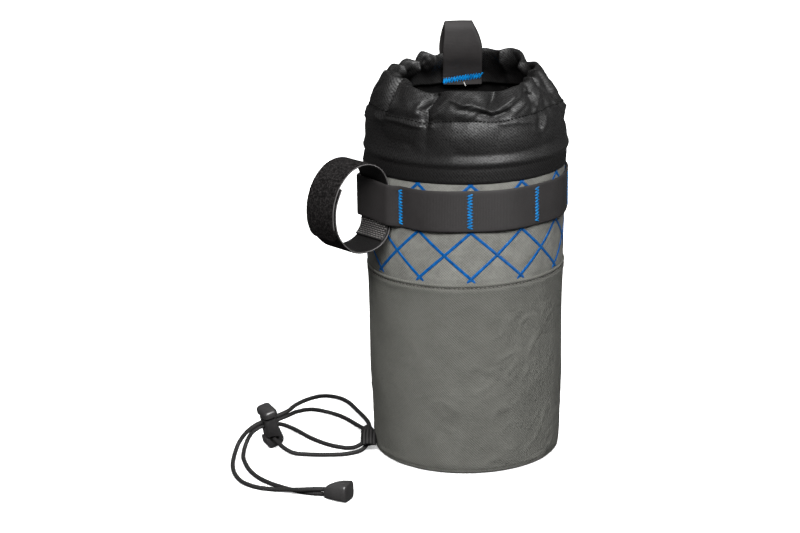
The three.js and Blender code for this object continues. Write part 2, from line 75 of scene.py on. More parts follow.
def soft_light(name, place, aim, size, watts):
    """A soft box. The one called shine gives reflections alone, and the others give none."""
    bpy.ops.object.light_add(type="AREA", location=place)
    light = bpy.context.object
    light.name = name
    light.data.shape = "RECTANGLE"
    light.data.size, light.data.size_y = size
    light.data.energy = watts
    light.rotation_euler = (Vector(aim) - Vector(place)).to_track_quat("-Z", "Y").to_euler()
    light.visible_diffuse = name != "shine"
    light.visible_glossy = name == "shine"


def set_stage():
    world = bpy.data.worlds.new("studio")
    world.use_nodes = True
    fill(world.node_tree, world.node_tree.nodes["Background"],
         {"Color": (1, 1, 1, 1), "Strength": WORLD_STRENGTH})
    bpy.context.scene.world = world
    bpy.context.scene.view_settings.view_transform = "Standard"
    for light in LIGHTS:
        soft_light(*light)
    bpy.ops.object.select_all(action="DESELECT")
    bpy.ops.mesh.primitive_plane_add(size=FLOOR_SIZE)
    floor = bpy.context.object
    floor.name = "floor"
    floor.data.materials.append(plain_floor())
    floor.visible_diffuse = floor.visible_glossy = False


# Materials

def paint(red, green, blue):
    """A screen colour from 0 to 255, as linear light."""
    return tuple(c / 12.92 if c < 0.04045 else ((c + 0.055) / 1.055) ** 2.4
                 for c in (red / 255, green / 255, blue / 255)) + (1,)


def fill(tree, node, inputs):
    """Sets a node's inputs: a socket is linked, and anything else is a plain value."""
    for key, value in dict(inputs).items():
        if isinstance(value, bpy.types.NodeSocket):
            tree.links.new(value, node.inputs[key])
        else:
            node.inputs[key].default_value = value
    return node


def add(tree, kind, inputs=(), **settings):
    made = tree.nodes.new("ShaderNode" + kind)
    for key, value in settings.items():
        setattr(made, key, value)
    return fill(tree, made, inputs)


def reckon(tree, operation, *values):
    return add(tree, "Math", dict(enumerate(values)), operation=operation).outputs[0]


def weighted(tree, first, share, second, other):
    """Two values added, each at its share."""
    return reckon(tree, "ADD", reckon(tree, "MULTIPLY", first, share),
                  reckon(tree, "MULTIPLY", second, other))


def blend(tree, share, first, second):
    return add(tree, "Mix", {0: share, 6: first, 7: second}, data_type="RGBA").outputs[2]


def tinted(tree, share, dark, pale):
    return blend(tree, share, paint(*dark), paint(*pale))


def spread(tree, value, low, high, to_low=0, to_high=1):
    return add(tree, "MapRange", {0: value, 1: low, 2: high, 3: to_low, 4: to_high}).outputs[0]


def shared_effect(name, inputs, output):
    """A node group with its named inputs and one output; returns it with its inside ends."""
    tree = bpy.data.node_groups.new(name, "ShaderNodeTree")
    for label, kind in inputs:
        tree.interface.new_socket(name=label, in_out="INPUT", socket_type="NodeSocket" + kind)
    tree.interface.new_socket(name=output, in_out="OUTPUT", socket_type="NodeSocketFloat")
    inside = tree.nodes.new("NodeGroupInput").outputs
    end = tree.nodes.new("NodeGroupOutput").inputs
    return tree, inside, end


def make_crossed_threads():
    tree, given, end = shared_effect("crossed threads", (
        ("Place", "Vector"), ("Warp", "Vector"), ("Weft", "Vector"), ("Over", "Float"),
        ("Wander", "Float")), "Height")
    drift = add(tree, "TexNoise", {"Vector": given["Place"], "Scale": 0.3, "Detail": 2})
    drift = reckon(tree, "MULTIPLY", reckon(tree, "SUBTRACT", drift.outputs[0], 0.5), given["Wander"])
    waves = []
    for thread in ("Warp", "Weft"):
        dot = add(tree, "VectorMath", {0: given["Place"], 1: given[thread]}, operation="DOT_PRODUCT")
        turns = reckon(tree, "ADD", dot.outputs["Value"], drift)
        waves.append(reckon(tree, "SINE", reckon(tree, "MULTIPLY", turns, 2 * math.pi)))
    both = reckon(tree, "MULTIPLY", reckon(tree, "ADD", *waves), 0.5)
    crossing = reckon(tree, "MULTIPLY", *waves)
    mixed = add(tree, "Mix", {0: given["Over"], 2: both, 3: crossing}, data_type="FLOAT").outputs[0]
    tree.links.new(spread(tree, mixed, -1, 1), end["Height"])
    return tree


def make_soft_mottle():
    tree, given, end = shared_effect("soft mottle", (("Place", "Vector"), ("Size", "Float")), "Tone")
    scale = reckon(tree, "DIVIDE", 1, given["Size"])
    finer = reckon(tree, "MULTIPLY", scale, 6)
    wide = add(tree, "TexNoise", {"Vector": given["Place"], "Scale": scale, "Detail": 3})
    fine = add(tree, "TexNoise", {"Vector": given["Place"], "Scale": finer, "Detail": 2})
    tone = weighted(tree, wide.outputs[0], 0.62, fine.outputs[0], 0.38)
    tree.links.new(spread(tree, tone, 0.3, 0.7), end["Tone"])
    return tree


EFFECTS = {
    "threads": make_crossed_threads(),
    "mottle": make_soft_mottle(),
}


def effect(tree, name, inputs):
    return add(tree, "Group", inputs, node_tree=EFFECTS[name]).outputs[0]


def on_object(tree):
    return add(tree, "TexCoord").outputs["Object"]


def finish_called(name, **constants):
    made = bpy.data.materials.new(name)
    made.use_nodes = True
    tree = made.node_tree
    shader = tree.nodes["Principled BSDF"]
    fill(tree, shader, {key.replace("_", " "): value for key, value in constants.items()})
    return made, tree, shader


def relief(tree, shader, height, depth, strength=1.0):
    bump = add(tree, "Bump", {"Height": height, "Distance": depth * MM, "Strength": strength})
    fill(tree, shader, {"Normal": bump.outputs[0]})


# The sheen levels below and above the map's bright span are painted shade, not a change in the cloth.
SHEEN_RISE, SHEEN_FALL, SHEEN_BELOW, SHEEN_ABOVE = 3, 8, 0.45, 0.15
FLECK_SCALE, WEAVE_IN_GRAIN, GRAIN_RANGE = 0.9, 0.5, (0.42, 1.02)


def sheen_with_painted_shade(tree, place, height, low, high):
    """Sheen broken up by weave and flecks, which are the cloth's own, and duller below low and above high on
    the map, which is painted shade.
    """
    along = add(tree, "SeparateXYZ", {0: place}).outputs["Y"]
    bright = reckon(tree, "MINIMUM", spread(tree, along, low - SHEEN_RISE, low, SHEEN_BELOW, 1),
                    spread(tree, along, high + SHEEN_FALL, high, SHEEN_ABOVE, 1))
    flecks = add(tree, "TexNoise", {"Vector": place, "Scale": FLECK_SCALE, "Detail": 1}).outputs[0]
    grain = reckon(tree, "ADD", reckon(tree, "MULTIPLY", height, WEAVE_IN_GRAIN), flecks)
    return reckon(tree, "MULTIPLY", spread(tree, grain, *GRAIN_RANGE), bright)


def woven(name, dark, pale, warp, weft, over=0.0, wander=0.3, depth=0.12, weave_tone=0.4,
          mottle=0.5, mottle_size=14, sheen_unshaded_between=None, rough=(0.7, 0.9), **constants):
    """Woven cloth on a UV map in millimetres."""
    made, tree, shader = finish_called(name, **constants)
    place = add(tree, "UVMap").outputs[0]
    height = effect(tree, "threads", {"Place": place, "Warp": warp, "Weft": weft, "Over": over,
                                      "Wander": wander})
    tone = effect(tree, "mottle", {"Place": on_object(tree), "Size": mottle_size * MM})
    share = weighted(tree, height, weave_tone, tone, mottle)
    fill(tree, shader, {"Base Color": tinted(tree, share, dark, pale),
                        "Roughness": spread(tree, tone, 0, 1, *rough)})
    if sheen_unshaded_between:
        fill(tree, shader, {"Coat Weight": sheen_with_painted_shade(tree, place, height, *sheen_unshaded_between)})
    relief(tree, shader, height, depth)
    return made


def plain_floor():
    made, tree, shader = finish_called("pale floor", Roughness=0.9, Emission_Color=(1, 1, 1, 1),
                                       Emission_Strength=FLOOR_GLOW)
    tone = effect(tree, "mottle", {"Place": on_object(tree), "Size": 0.8})
    fill(tree, shader, {"Base Color": blend(tree, tone, (0.90, 0.90, 0.90, 1), (0.93, 0.93, 0.93, 1))})
    return made


def hook_pile():
    made, tree, shader = finish_called("loop pile", Specular_IOR_Level=0.1)
    around = on_object(tree)
    loops = add(tree, "TexVoronoi", {"Vector": around, "Scale": 1500}).outputs["Distance"]
    tufts = add(tree, "TexNoise", {"Vector": around, "Scale": 900, "Detail": 3}).outputs[0]
    height = reckon(tree, "ADD", reckon(tree, "MULTIPLY", loops, 0.6), tufts)
    fill(tree, shader, {"Base Color": tinted(tree, spread(tree, tufts, 0.42, 0.72), (8, 7, 7), (46, 44, 44)),
                        "Roughness": spread(tree, tufts, 0.3, 0.7, 0.85, 1)})
    relief(tree, shader, height, 0.5)
    return made


def sewing_thread(name, dark, pale, strands=1.9, rough=(0.35, 0.6)):
    made, tree, shader = finish_called(name, Specular_IOR_Level=0.2)
    place = add(tree, "UVMap").outputs[0]
    height = effect(tree, "threads", {"Place": place, "Warp": (0.5, strands, 0), "Weft": (0, strands, 0),
                                      "Over": 0.0, "Wander": 0.4})
    tone = effect(tree, "mottle", {"Place": on_object(tree), "Size": 2.6 * MM})
    share = weighted(tree, height, 0.35, tone, 0.7)
    fill(tree, shader, {"Base Color": tinted(tree, share, dark, pale),
                        "Roughness": spread(tree, tone, 0, 1, *rough)})
    relief(tree, shader, height, 0.15)
    return made


def moulded(name, dark, pale, rough=(0.3, 0.48)):
    made, tree, shader = finish_called(name)
    around = on_object(tree)
    tone = effect(tree, "mottle", {"Place": around, "Size": 7 * MM})
    grain = add(tree, "TexNoise", {"Vector": around, "Scale": 2600, "Detail": 1}).outputs[0]
    fill(tree, shader, {"Base Color": tinted(tree, tone, dark, pale),
                        "Roughness": spread(tree, tone, 0, 1, *rough)})
    relief(tree, shader, grain, 0.03, 0.5)
    return made


FINISH = {
    "lower": woven("lower twill", (66, 66, 62), (113, 113, 108), (0.6, 0.6, 0), (1.3, -1.3, 0),
                   weave_tone=0.7, mottle=0.22, depth=0.22, Specular_IOR_Level=0.15),
    "upper": woven("upper cloth", (80, 80, 76), (132, 132, 127), (0.6, 0, 0), (0, 0.6, 0), over=1,
                   mottle_size=9, depth=0.14, Specular_IOR_Level=0.2),
    "lining": woven("grey lining", (22, 22, 21), (34, 34, 33), (1.2, 0, 0), (0, 1.2, 0), over=1,
                    Specular_IOR_Level=0.15),
    # The collar's coat sheen is cut on the hem (below 12 mm on the map) and on the turned-in inside (above
    # 73 mm): painted shade.
    "collar": woven("collar nylon", (2, 2, 2), (22, 21, 21), (0.55, 0.55, 0), (1.3, -1.3, 0), wander=0.2,
                    weave_tone=0.85, mottle=0.15, depth=0.18, sheen_unshaded_between=(12, 73), rough=(0.6, 0.8),
                    Specular_IOR_Level=0.1, Coat_Roughness=0.56, Coat_IOR=1.6),
    "collar inside": woven("collar inside", (6, 6, 6), (18, 17, 17), (0.5, 0.5, 0), (1.3, -1.3, 0),
                           depth=0.1, Specular_IOR_Level=0.1),
    "webbing": woven("black webbing", (34, 32, 32), (50, 48, 48), (0.0, 1.1, 0), (2.2, 0, 0), over=0.6,
                     weave_tone=0.35, mottle=0.3, rough=(0.55, 0.7), Specular_IOR_Level=0.3),
    "ribbed": woven("ribbed webbing", (6, 6, 6), (40, 39, 39), (0.0, 0.65, 0), (0.6, 0, 0), over=0.4,
                    weave_tone=0.9, mottle=0.1, depth=0.4, rough=(0.55, 0.75), Specular_IOR_Level=0.3),
    # Colour follows the rib height: the ribs are the webbing's own, and the darker grooves are painted
    # shade.
    "tab face with painted groove shade": woven("tab face with painted groove shade", (2, 2, 2), (46, 45, 45), (0.45, 0, 0), (0.45, 0, 0), wander=0.1,
                      weave_tone=0.9, mottle=0.1, depth=0.4, rough=(0.6, 0.8), Specular_IOR_Level=0.2),
    "pile": hook_pile(),
    "strap": woven("smooth strap", (11, 10, 10), (18, 17, 17), (0.0, 1.6, 0), (1.6, 0, 0), over=1,
                   depth=0.08, rough=(0.55, 0.7), Specular_IOR_Level=0.25),
    # The strap's rim is painted pale: a painted highlight along its edge.
    "strap rim highlight": woven("painted highlight on strap rim", (60, 58, 58), (110, 108, 108), (0, 1.2, 0), (1.2, 0, 0),
                        depth=0.08, Specular_IOR_Level=0.2),
    "grip": moulded("grip strip", (24, 23, 23), (36, 35, 35), (0.5, 0.65)),
    "grip ribs": moulded("grip ribs", (80, 78, 77), (120, 117, 115), (0.45, 0.6)),
    "blue": sewing_thread("lattice thread", (0, 28, 76), (0, 96, 168)),
    "bright blue": sewing_thread("bar tack thread", (0, 34, 84), (8, 142, 216)),
    "pale thread": sewing_thread("pale thread", (170, 168, 164), (214, 212, 208)),
    "grey thread": sewing_thread("grey thread", (76, 75, 71), (122, 120, 114)),
    "black thread": sewing_thread("black thread", (2, 2, 2), (8, 8, 8), rough=(0.8, 0.95)),
    "cord": woven("braided cord", (10, 9, 9), (44, 43, 43), (0.53, 0.42, 0), (0.53, -0.42, 0), over=0.8,
                  weave_tone=0.8, mottle=0.15, mottle_size=8, depth=0.25, rough=(0.55, 0.7),
                  Specular_IOR_Level=0.3),
    "moulding": moulded("black moulding", (34, 33, 34), (50, 49, 49), (0.28, 0.4)),
    "end": moulded("cord end moulding", (40, 39, 39), (54, 53, 53), (0.3, 0.42)),
    "base": woven("base cloth", (58, 58, 55), (80, 80, 76), (900, 0, 0), (0, 900, 0), over=1, depth=0.15),
}


# Shapes round the bag

def round_bag(angle, radius, z):
    turn = math.radians(angle)
    return Vector((radius * math.sin(turn), -radius * math.cos(turn), z))


def angle_between(a, b):
    return (a - b + 180) % 360 - 180


def mound(distance, half):
    return math.exp(-((distance / half) ** 2))


def wave(angle, z, around, up, slant=0, shift=0):
    """Smooth noise round the bag, finer with around and up, and leaning by slant."""
    return noise.noise(round_bag(angle + slant * z, around, z * up + shift))


def facing_plane(angle):
    outward, sideways = round_bag(angle, 1, 0), round_bag(angle - 90, 1, 0)
    return lambda out, up, across: outward * out + sideways * across + UP * up


def eased(rows, x):
    """A smooth curve through rows of x and value, level beyond its ends."""
    if x <= rows[0][0]:
        return rows[0][1]
    if x >= rows[-1][0]:
        return rows[-1][1]
    i = max(k for k in range(len(rows) - 1) if rows[k][0] <= x)
    span = rows[i + 1][0] - rows[i][0]
    t = (x - rows[i][0]) / span

    def slope(k):
        before, after = rows[max(k - 1, 0)], rows[min(k + 1, len(rows) - 1)]
        return span * (after[1] - before[1]) / (after[0] - before[0])

    return ((1 + 2 * t) * (1 - t) ** 2 * rows[i][1] + t * (1 - t) ** 2 * slope(i)
            + t * t * (3 - 2 * t) * rows[i + 1][1] + t * t * (t - 1) * slope(i + 1))


def curve_through(points, per_span=12):
    """A smooth line through points of any size, even where they lie at uneven steps."""
    ends = [2 * points[0] - points[1], *points, 2 * points[-1] - points[-2]]
    line = []
    for p0, p1, p2, p3 in zip(ends, ends[1:], ends[2:], ends[3:]):
        d0, d1, d2 = (math.sqrt((b - a).length) for a, b in ((p0, p1), (p1, p2), (p2, p3)))
        leave = ((p1 - p0) / d0 - (p2 - p0) / (d0 + d1) + (p2 - p1) / d1) * d1
        arrive = ((p2 - p1) / d1 - (p3 - p1) / (d1 + d2) + (p3 - p2) / d2) * d1
        for step in range(per_span):
            t = step / per_span
            line.append((1 + 2 * t) * (1 - t) ** 2 * p1 + t * (1 - t) ** 2 * leave
                        + t * t * (3 - 2 * t) * p2 + t * t * (t - 1) * arrive)
    return line + [points[-1]]


def distances(line):
    run = [0.0]
    for a, b in zip(line, line[1:]):
        run.append(run[-1] + (b - a).length)
    return run


def steps_along(line, count):
    """Where equal steps fall on a line: the point before each, and the share of the way on."""
    run, i = distances(line), 0
    for step in range(count + 1):
        here = run[-1] * step / count
        while i < len(run) - 2 and run[i + 1] < here:
            i += 1
        yield i, min(1, (here - run[i]) / max(run[i + 1] - run[i], 1e-9))


def even_steps(line, count):
    """The same line in that many equal steps."""
    return [line[i].lerp(line[i + 1], share) for i, share in steps_along(line, count)]


# Meshes

def choose(piece):
    bpy.ops.object.select_all(action="DESELECT")
    piece.select_set(True)
    bpy.context.view_layer.objects.active = piece


def placed(name, mesh):
    piece = bpy.data.objects.new(name, mesh)
    bpy.context.scene.collection.objects.link(piece)
    return piece


def dress(piece, materials):
    for material in materials:
        piece.data.materials.append(FINISH[material])


def redress(piece, material):
    """One material in place of those of the solid; clearing them also puts each face back to the first."""
    piece.data.materials.clear()
    dress(piece, [material])


def merge_doubles(then):
    """Merges a chosen piece's doubles, and does one thing more while it is being edited."""
    bpy.ops.object.mode_set(mode="EDIT")
    bpy.ops.mesh.select_all(action="SELECT")
    bpy.ops.mesh.remove_doubles(threshold=1e-6)
    then()
    bpy.ops.object.mode_set(mode="OBJECT")


def smooth_by_angle(piece, degrees=40):
    choose(piece)
    bpy.ops.object.shade_smooth_by_angle(angle=math.radians(degrees))


def skin(name, runs, materials, looped=False, side=None):
    """Closed skins over runs of rings. The UV map is in millimetres, round the ring and along."""
    mesh = bpy.data.meshes.new(name)
    bm = bmesh.new()
    uv = bm.loops.layers.uv.new("UVMap")
    for rings in runs:
        size = len(rings[0])
        points = [[bm.verts.new(p * MM) for p in ring] for ring in rings]
        around = distances([*rings[len(rings) // 2], rings[len(rings) // 2][0]])
        middles = [sum(ring, Vector()) / size for ring in rings]
        along = distances(middles + middles[:1] if looped else middles)
        for i in range(len(rings) if looped else len(rings) - 1):
            after = (i + 1) % len(rings)
            for j in range(size):
                k = (j + 1) % size
                face = bm.faces.new((points[i][j], points[i][k], points[after][k], points[after][j]))
                face.material_index = side(j, size) if side else 0
                for loop, (u, v) in zip(face.loops, ((j, i), (j + 1, i), (j + 1, i + 1), (j, i + 1))):
                    loop[uv].uv = (around[u], along[v])
        if not looped:
            bm.faces.new(points[0][::-1])
            bm.faces.new(points[-1])
    bmesh.ops.recalc_face_normals(bm, faces=bm.faces)
    bm.to_mesh(mesh)
    bm.free()
    piece = placed(name, mesh)
    dress(piece, materials)
    smooth_by_angle(piece)
    return piece


def rolled_cloth(name, columns, rows, place, round_length, materials):
    """A flat grid rolled round the bag, row by row; its UV map is in millimetres."""
    bpy.ops.object.select_all(action="DESELECT")
    bpy.ops.mesh.primitive_grid_add(x_subdivisions=columns, y_subdivisions=rows, size=2)
    piece = bpy.context.object
    piece.name = piece.data.name = name
    up = distances([place(180, row) for row in range(rows + 1)])
    for corner in piece.data.uv_layers.active.data:
        corner.uv = (corner.uv.x * round_length, up[round(corner.uv.y * rows)])
    for vertex in piece.data.vertices:
        column, row = ((c + 1) / 2 * n for c, n in zip(vertex.co, (columns, rows)))
        vertex.co = place(360 * (round(column) / columns - 0.5), round(row)) * MM
    merge_doubles(lambda: bpy.ops.mesh.normals_make_consistent(inside=False))
    bpy.ops.object.shade_smooth()
    dress(piece, materials)
    return piece


def thicken(piece, thick):
    choose(piece)
    wall = piece.modifiers.new("wall", "SOLIDIFY")
    wall.thickness = thick * MM
    wall.offset = -1
    wall.material_offset = 1
    bpy.ops.object.modifier_apply(modifier="wall")


STRIP_EDGES = ((0.5, 0.4), (0.49, 0.8), (0.47, 1.0), (0.4, 1.0), (0.28, 1.0), (0.14, 1.0), (0.0, 1.0))


def flat_strip(name, count, place, width, thick, face, back=None, looped=False):
    """Webbing with rounded edges. place(i, across, out) gives a point at step i of the strip."""
    columns = [(-a, f) for a, f in STRIP_EDGES] + [(a, f) for a, f in reversed(STRIP_EDGES[:-1])]
    rings = []
    for i in range(count):
        front = [place(i, a * width, thick / 2 * f) for a, f in columns]
        rear = [place(i, a * width, -thick / 2 * f) for a, f in columns]
        rings.append(front + rear[::-1])
    half = len(columns)
    return skin(name, [rings], [face, back or face], looped, lambda j, size: int(half - 1 <= j < size - 1))


def normals_of(line, looped=False):
    """Unit normals of a line in a plane, to the left of its direction."""
    made = []
    for i in range(len(line)):
        before = line[i - 1] if looped or i else line[0]
        after = line[(i + 1) % len(line)] if looped or i < len(line) - 1 else line[-1]
        along = (after - before).normalized()
        made.append(Vector((-along.y, along.x)))
    return made


def normals_away(line, centre):
    return [n if n.dot(p - centre) > 0 else -n for n, p in zip(normals_of(line), line)]


def tube_rings(line, radius, sides):
    """Rings round a line, turned as little as possible from one to the next."""
    rings, side = [], None
    for i, point in enumerate(line):
        along = (line[min(i + 1, len(line) - 1)] - line[max(i - 1, 0)]).normalized()
        if side is None:
            side = along.cross(UP if abs(along.z) < 0.9 else Vector((1, 0, 0)))
        side = (side - along * side.dot(along)).normalized()
        other = along.cross(side)
        rings.append([point + radius * (side * math.cos(2 * math.pi * k / sides)
                                        + other * math.sin(2 * math.pi * k / sides))
                      for k in range(sides)])
    return rings


def stitch(middle, along, out, length, thick):
    """One stitch, sunk at both ends."""
    line = [middle + along * (length * t) - out * (thick * sink)
            for t, sink in ((-0.5, 0.7), (-0.3, 0.05), (0, -0.1), (0.3, 0.05), (0.5, 0.7))]
    return tube_rings(line, thick / 2, 6)


def zigzag(start, along, across, out, length, width, pitch, thick):
    """A bar tack: one thread from side to side, sunk where it turns."""
    turns = round(2 * length / pitch)
    points = []
    for k in range(turns + 1):
        for share in (0, 0.3, 0.7) if k < turns else (0,):
            side = (1 - 2 * share) * (1 if k % 2 else -1) * width / 2
            sink = 0.4 * thick * mound(abs(side) - width / 2, 0.15 * width)
            points.append(start + along * (pitch / 2 * (k + share)) + across * side - out * sink)
    return tube_rings(points, thick / 2, 6)


# Shock cord, as in the solids: one length from the cord end through lock and tab and back

LOCK_PLACE, LOCK_TURNS = (-124, -7.8, 1.3), (("Z", 30), ("Y", -12), ("X", 9))
lock_frame = Matrix.Translation(LOCK_PLACE)
for axis, degrees in LOCK_TURNS:
    lock_frame @= Matrix.Rotation(math.radians(degrees), 4, axis)
CORD = {"diameter": 2.8, "sides": 12, "step": 1.2, "off_floor": 0.05}
STRAND_REACH = (-7.5, -4.9, 4.9, 7.5)
STRAND_UPPER, STRAND_LOWER = 19, 16
HOOK_SLOT = ((0.6, 7.2, 5), (0.6, -7.2, 5))
CORD_END_TO_LOCK = (
    (-85.1, -92.6, 4.9), (-92.2, -92.2, 4.8), (-100.1, -91.6, 4.2), (-107.7, -88.2, 2.8),
    (-116.0, -84.8, 1.6), (-126.4, -81.4, 1.5), (-136.0, -73.6, 1.5), (-142.1, -61.9, 1.5),
    (-145.6, -47.0, 1.5), (-146.6, -33.0, 1.5), (-146.2, -24.6, 3.0), (-144.4, -19.8, 6.8),
    (-141.0, -18.4, 11.6), (-136.6, -17.8, 15.8),
)
LOCK_TO_TAB = (
    (-116.0, -6.2, 22.0), (-113.2, -1.2, 22.0), (-111.8, 7.0, 20.9), (-109.9, 19.0, 18.5),
    (-106.9, 35.3, 14.8), (-102.3, 54.0, 10.2), (-98.2, 67.6, 6.4), (-92.6, 76.0, 3.4), (-85.6, 76.6, 1.7),
    (-79.4, 68.6, 1.5), (-73.6, 55.0, 1.5), (-66.1, 33.3, 2.6), (-63.0, 12.0, 6.2), (-62.3, -5.0, 7.5),
    (-62.7, -12.6, 7.1),
)
TAB_TO_HOOK = (
    (-65.2, -16.8, 5.6), (-70.4, -18.0, 2.9), (-77.0, -15.8, 1.5), (-87.2, -10.6, 1.5), (-99.5, 1.1, 1.5),
    (-107.6, 12.0, 1.5), (-113.6, 18.6, 2.0), (-120.2, 21.2, 3.6), (-126.4, 18.2, 5.4), (-129.8, 11.2, 6.9),
    (-130.2, 3.8, 7.6),
)
HOOK_TO_TAB = (
    (-115.6, -21.6, 3.8), (-109.4, -25.4, 2.0), (-101.0, -26.8, 1.5), (-88.7, -27.6, 1.5),
    (-76.1, -26.4, 1.5), (-66.8, -20.8, 1.8), (-62.6, -12.6, 3.9),
)
TAB_TO_LOCK = (
    (-62.4, -4.0, 4.4), (-64.8, 10.0, 3.3), (-71.5, 23.6, 2.2), (-80.3, 38.6, 1.5), (-87.6, 46.0, 1.6),
    (-94.8, 47.6, 3.0), (-100.6, 42.4, 6.0), (-105.2, 32.5, 9.6), (-108.6, 21.0, 13.0), (-111.2, 9.0, 16.3),
    (-112.9, 0.6, 18.2), (-115.6, -5.2, 18.9),
)
LOCK_TO_CORD_END = (
    (-135.4, -16.8, 13.2), (-138.2, -17.2, 9.6), (-140.0, -18.6, 5.8), (-141.0, -23.0, 2.6),
    (-140.8, -30.0, 1.5), (-139.0, -39.0, 1.5), (-134.4, -53.2, 1.5), (-127.4, -66.0, 1.5),
    (-118.9, -75.5, 1.5), (-111.3, -81.5, 1.5), (-104.3, -86.0, 1.5), (-97.4, -89.5, 1.5),
    (-90.6, -91.4, 1.6), (-85.1, -92.6, 1.8),
)


def cord_route():
    upper = [lock_frame @ Vector((x, 0, STRAND_UPPER)) for x in STRAND_REACH]
    lower = [lock_frame @ Vector((-x, 0, STRAND_LOWER)) for x in STRAND_REACH]
    hook = [lock_frame @ Vector(point) for point in HOOK_SLOT]
    legs = (CORD_END_TO_LOCK, upper, LOCK_TO_TAB, TAB_TO_HOOK, hook, HOOK_TO_TAB, TAB_TO_LOCK, lower,
            LOCK_TO_CORD_END)
    line = curve_through([Vector(point) for leg in legs for point in leg], 16)
    for point in line:
        point.z = max(point.z, CORD["diameter"] / 2 + CORD["off_floor"])
    return even_steps(line, round(distances(line)[-1] / CORD["step"]))


def make_cord():
    route = cord_route()
    piece = skin("shock_cord", [tube_rings(route, CORD["diameter"] / 2, CORD["sides"])], ["cord"])
    settle(piece, "bag", "shock_cord", "cord")
    return piece, route


def settle(piece, body, slot, *nodes):
    """The piece rides on its body and stands for its solids. Its slot is not used."""
    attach(piece, body)
    if nodes:
        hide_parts(*nodes)


def sewn(name, runs, material, slot):
    """Stitches or fine trim on the bag, which stand for no solid."""
    settle(skin(name, runs, [material]), "bag", slot)


# Padded body: two cloths, the lower one folded under at its top edge and topstitched

ROUND = 386.0
PADDED_WALL = 2.2
SEAM_HEIGHT, SEAM_RISE = 122.5, 0.6
SEAM_STITCH, SEAM_STITCH_PITCH, SEAM_STITCH_BELOW = {"length": 1.9, "thick": 0.62}, 2.6, 2.2
LOWER_COLUMNS, FOOT_TOP, SIDE_START, SIDE_STEP, SIDE_ROWS = 288, 2.6, 6, 1.25, 88
SLACK, CREASE, SMALL_CREASE, CREASE_WIDTH = 0.6, 3.0, 0.36, 0.2
SMOOTH_SIDE, CREASED_SIDE, SMOOTH_BY_SEAM = (-50, 30, 0.8), (24, 24, 0.4), 14
LOWER_RADIUS = ((0.4, 57.4), (1.8, 58.5), (6, 59.0), (18, 59.5), (34, 60.0), (52, 60.5), (70, 60.5),
                (88, 60.6), (106, 61.0), (121.4, 61.4))
LOWER_FOOT = ((0.9, 54.6), (0.45, 56.4), (0.5, 57.4), (1.1, 58.1), (1.9, 58.5), (2.6, 58.3), (3.3, 58.75),
              (4.4, 58.95))
LOWER_HEM = ((-6.4, 0.1), (-4.8, 0.3), (-3.6, 0.3), (-2.8, 0.0), (-2.2, -0.25), (-1.6, 0.05), (-1.0, 0.4),
             (-0.3, 0.45), (0.15, 0.1), (0.2, -0.6), (-0.4, -1.3))
LOWER_DENTS = (
    (-40, 104, 14, 14, 0.9), (34, 92, 9, 22, 0.8), (8, 60, 13, 9, 0.7), (-15, 33, 12, 13, 0.8),
    (46, 36, 12, 24, 0.9), (112, 72, 18, 22, 1.0), (-122, 58, 18, 20, 1.0), (176, 88, 20, 18, 0.9),
)


def seam_at(angle):
    return SEAM_HEIGHT + SEAM_RISE * math.sin(math.radians(angle))


def rumple(angle, z):
    """How far the lower cloth lies in or out: dents, slack that runs aslant, and short sharp creases."""
    def beside(at, half, share):
        return share * mound(angle_between(angle, at), half)

    dents = sum(beside(at, across, deep) * mound(z - height, tall)
                for at, height, across, tall, deep in LOWER_DENTS)
    slack = wave(angle, z, 2.6, 0.016, 0.5)
    where = max(0, wave(angle, z, 2.4, 0.03, shift=7) + 0.25)
    where = where * (1 - beside(*SMOOTH_SIDE)) + beside(*CREASED_SIDE)
    where *= 1 - mound(z - SEAM_HEIGHT, SMOOTH_BY_SEAM)
    crease = max(0, CREASE_WIDTH - abs(wave(angle, z, 5.2, 0.07, -0.4)))
    small = wave(angle, z, 9.0, 0.15, 0.6)
    return SLACK * slack + CREASE * crease * where + SMALL_CREASE * small * where - dents


def lower_rows():
    rows = [("foot", z, radius) for z, radius in LOWER_FOOT]
    rows += [("side", SIDE_START + SIDE_STEP * k, None) for k in range(SIDE_ROWS)]
    return rows + [("hem", below, proud) for below, proud in LOWER_HEM]


def make_lower_body():
    rows = lower_rows()

    def place(angle, row):
        kind, first, second = rows[row]
        if kind == "foot":
            ripple = 0.35 * wave(angle, first, 5.5, 0.1)
            return round_bag(angle, second + ripple * min(1, first), first)
        if kind == "side":
            share = (first - FOOT_TOP) / (SEAM_HEIGHT - FOOT_TOP)
            z = first + (seam_at(angle) - SEAM_HEIGHT) * share
            return round_bag(angle, eased(LOWER_RADIUS, first) + rumple(angle, first), z)
        ripple = 0.2 * wave(angle, first, 9, 0.05)
        near = eased(LOWER_RADIUS, SEAM_HEIGHT + first) + rumple(angle, SEAM_HEIGHT + first)
        return round_bag(angle, near + second + ripple, seam_at(angle) + first + 0.5 * ripple)

    piece = rolled_cloth("lower_cloth", LOWER_COLUMNS, len(rows) - 1, place, ROUND, ["lower", "lining"])
    thicken(piece, PADDED_WALL)
    settle(piece, "bag", "lower_cloth", "lower_body")
    count = round(ROUND / SEAM_STITCH_PITCH)
    runs = []
    for k in range(count):
        angle = 360 * k / count
        out = round_bag(angle, 1, 0)
        height = seam_at(angle) - SEAM_STITCH_BELOW
        radius = eased(LOWER_RADIUS, height) + rumple(angle, SEAM_HEIGHT - SEAM_STITCH_BELOW) + 0.02
        runs.append(stitch(round_bag(angle, radius, height), out.cross(UP), out, **SEAM_STITCH))
    sewn("seam_stitches", runs, "grey thread", "lower_cloth")


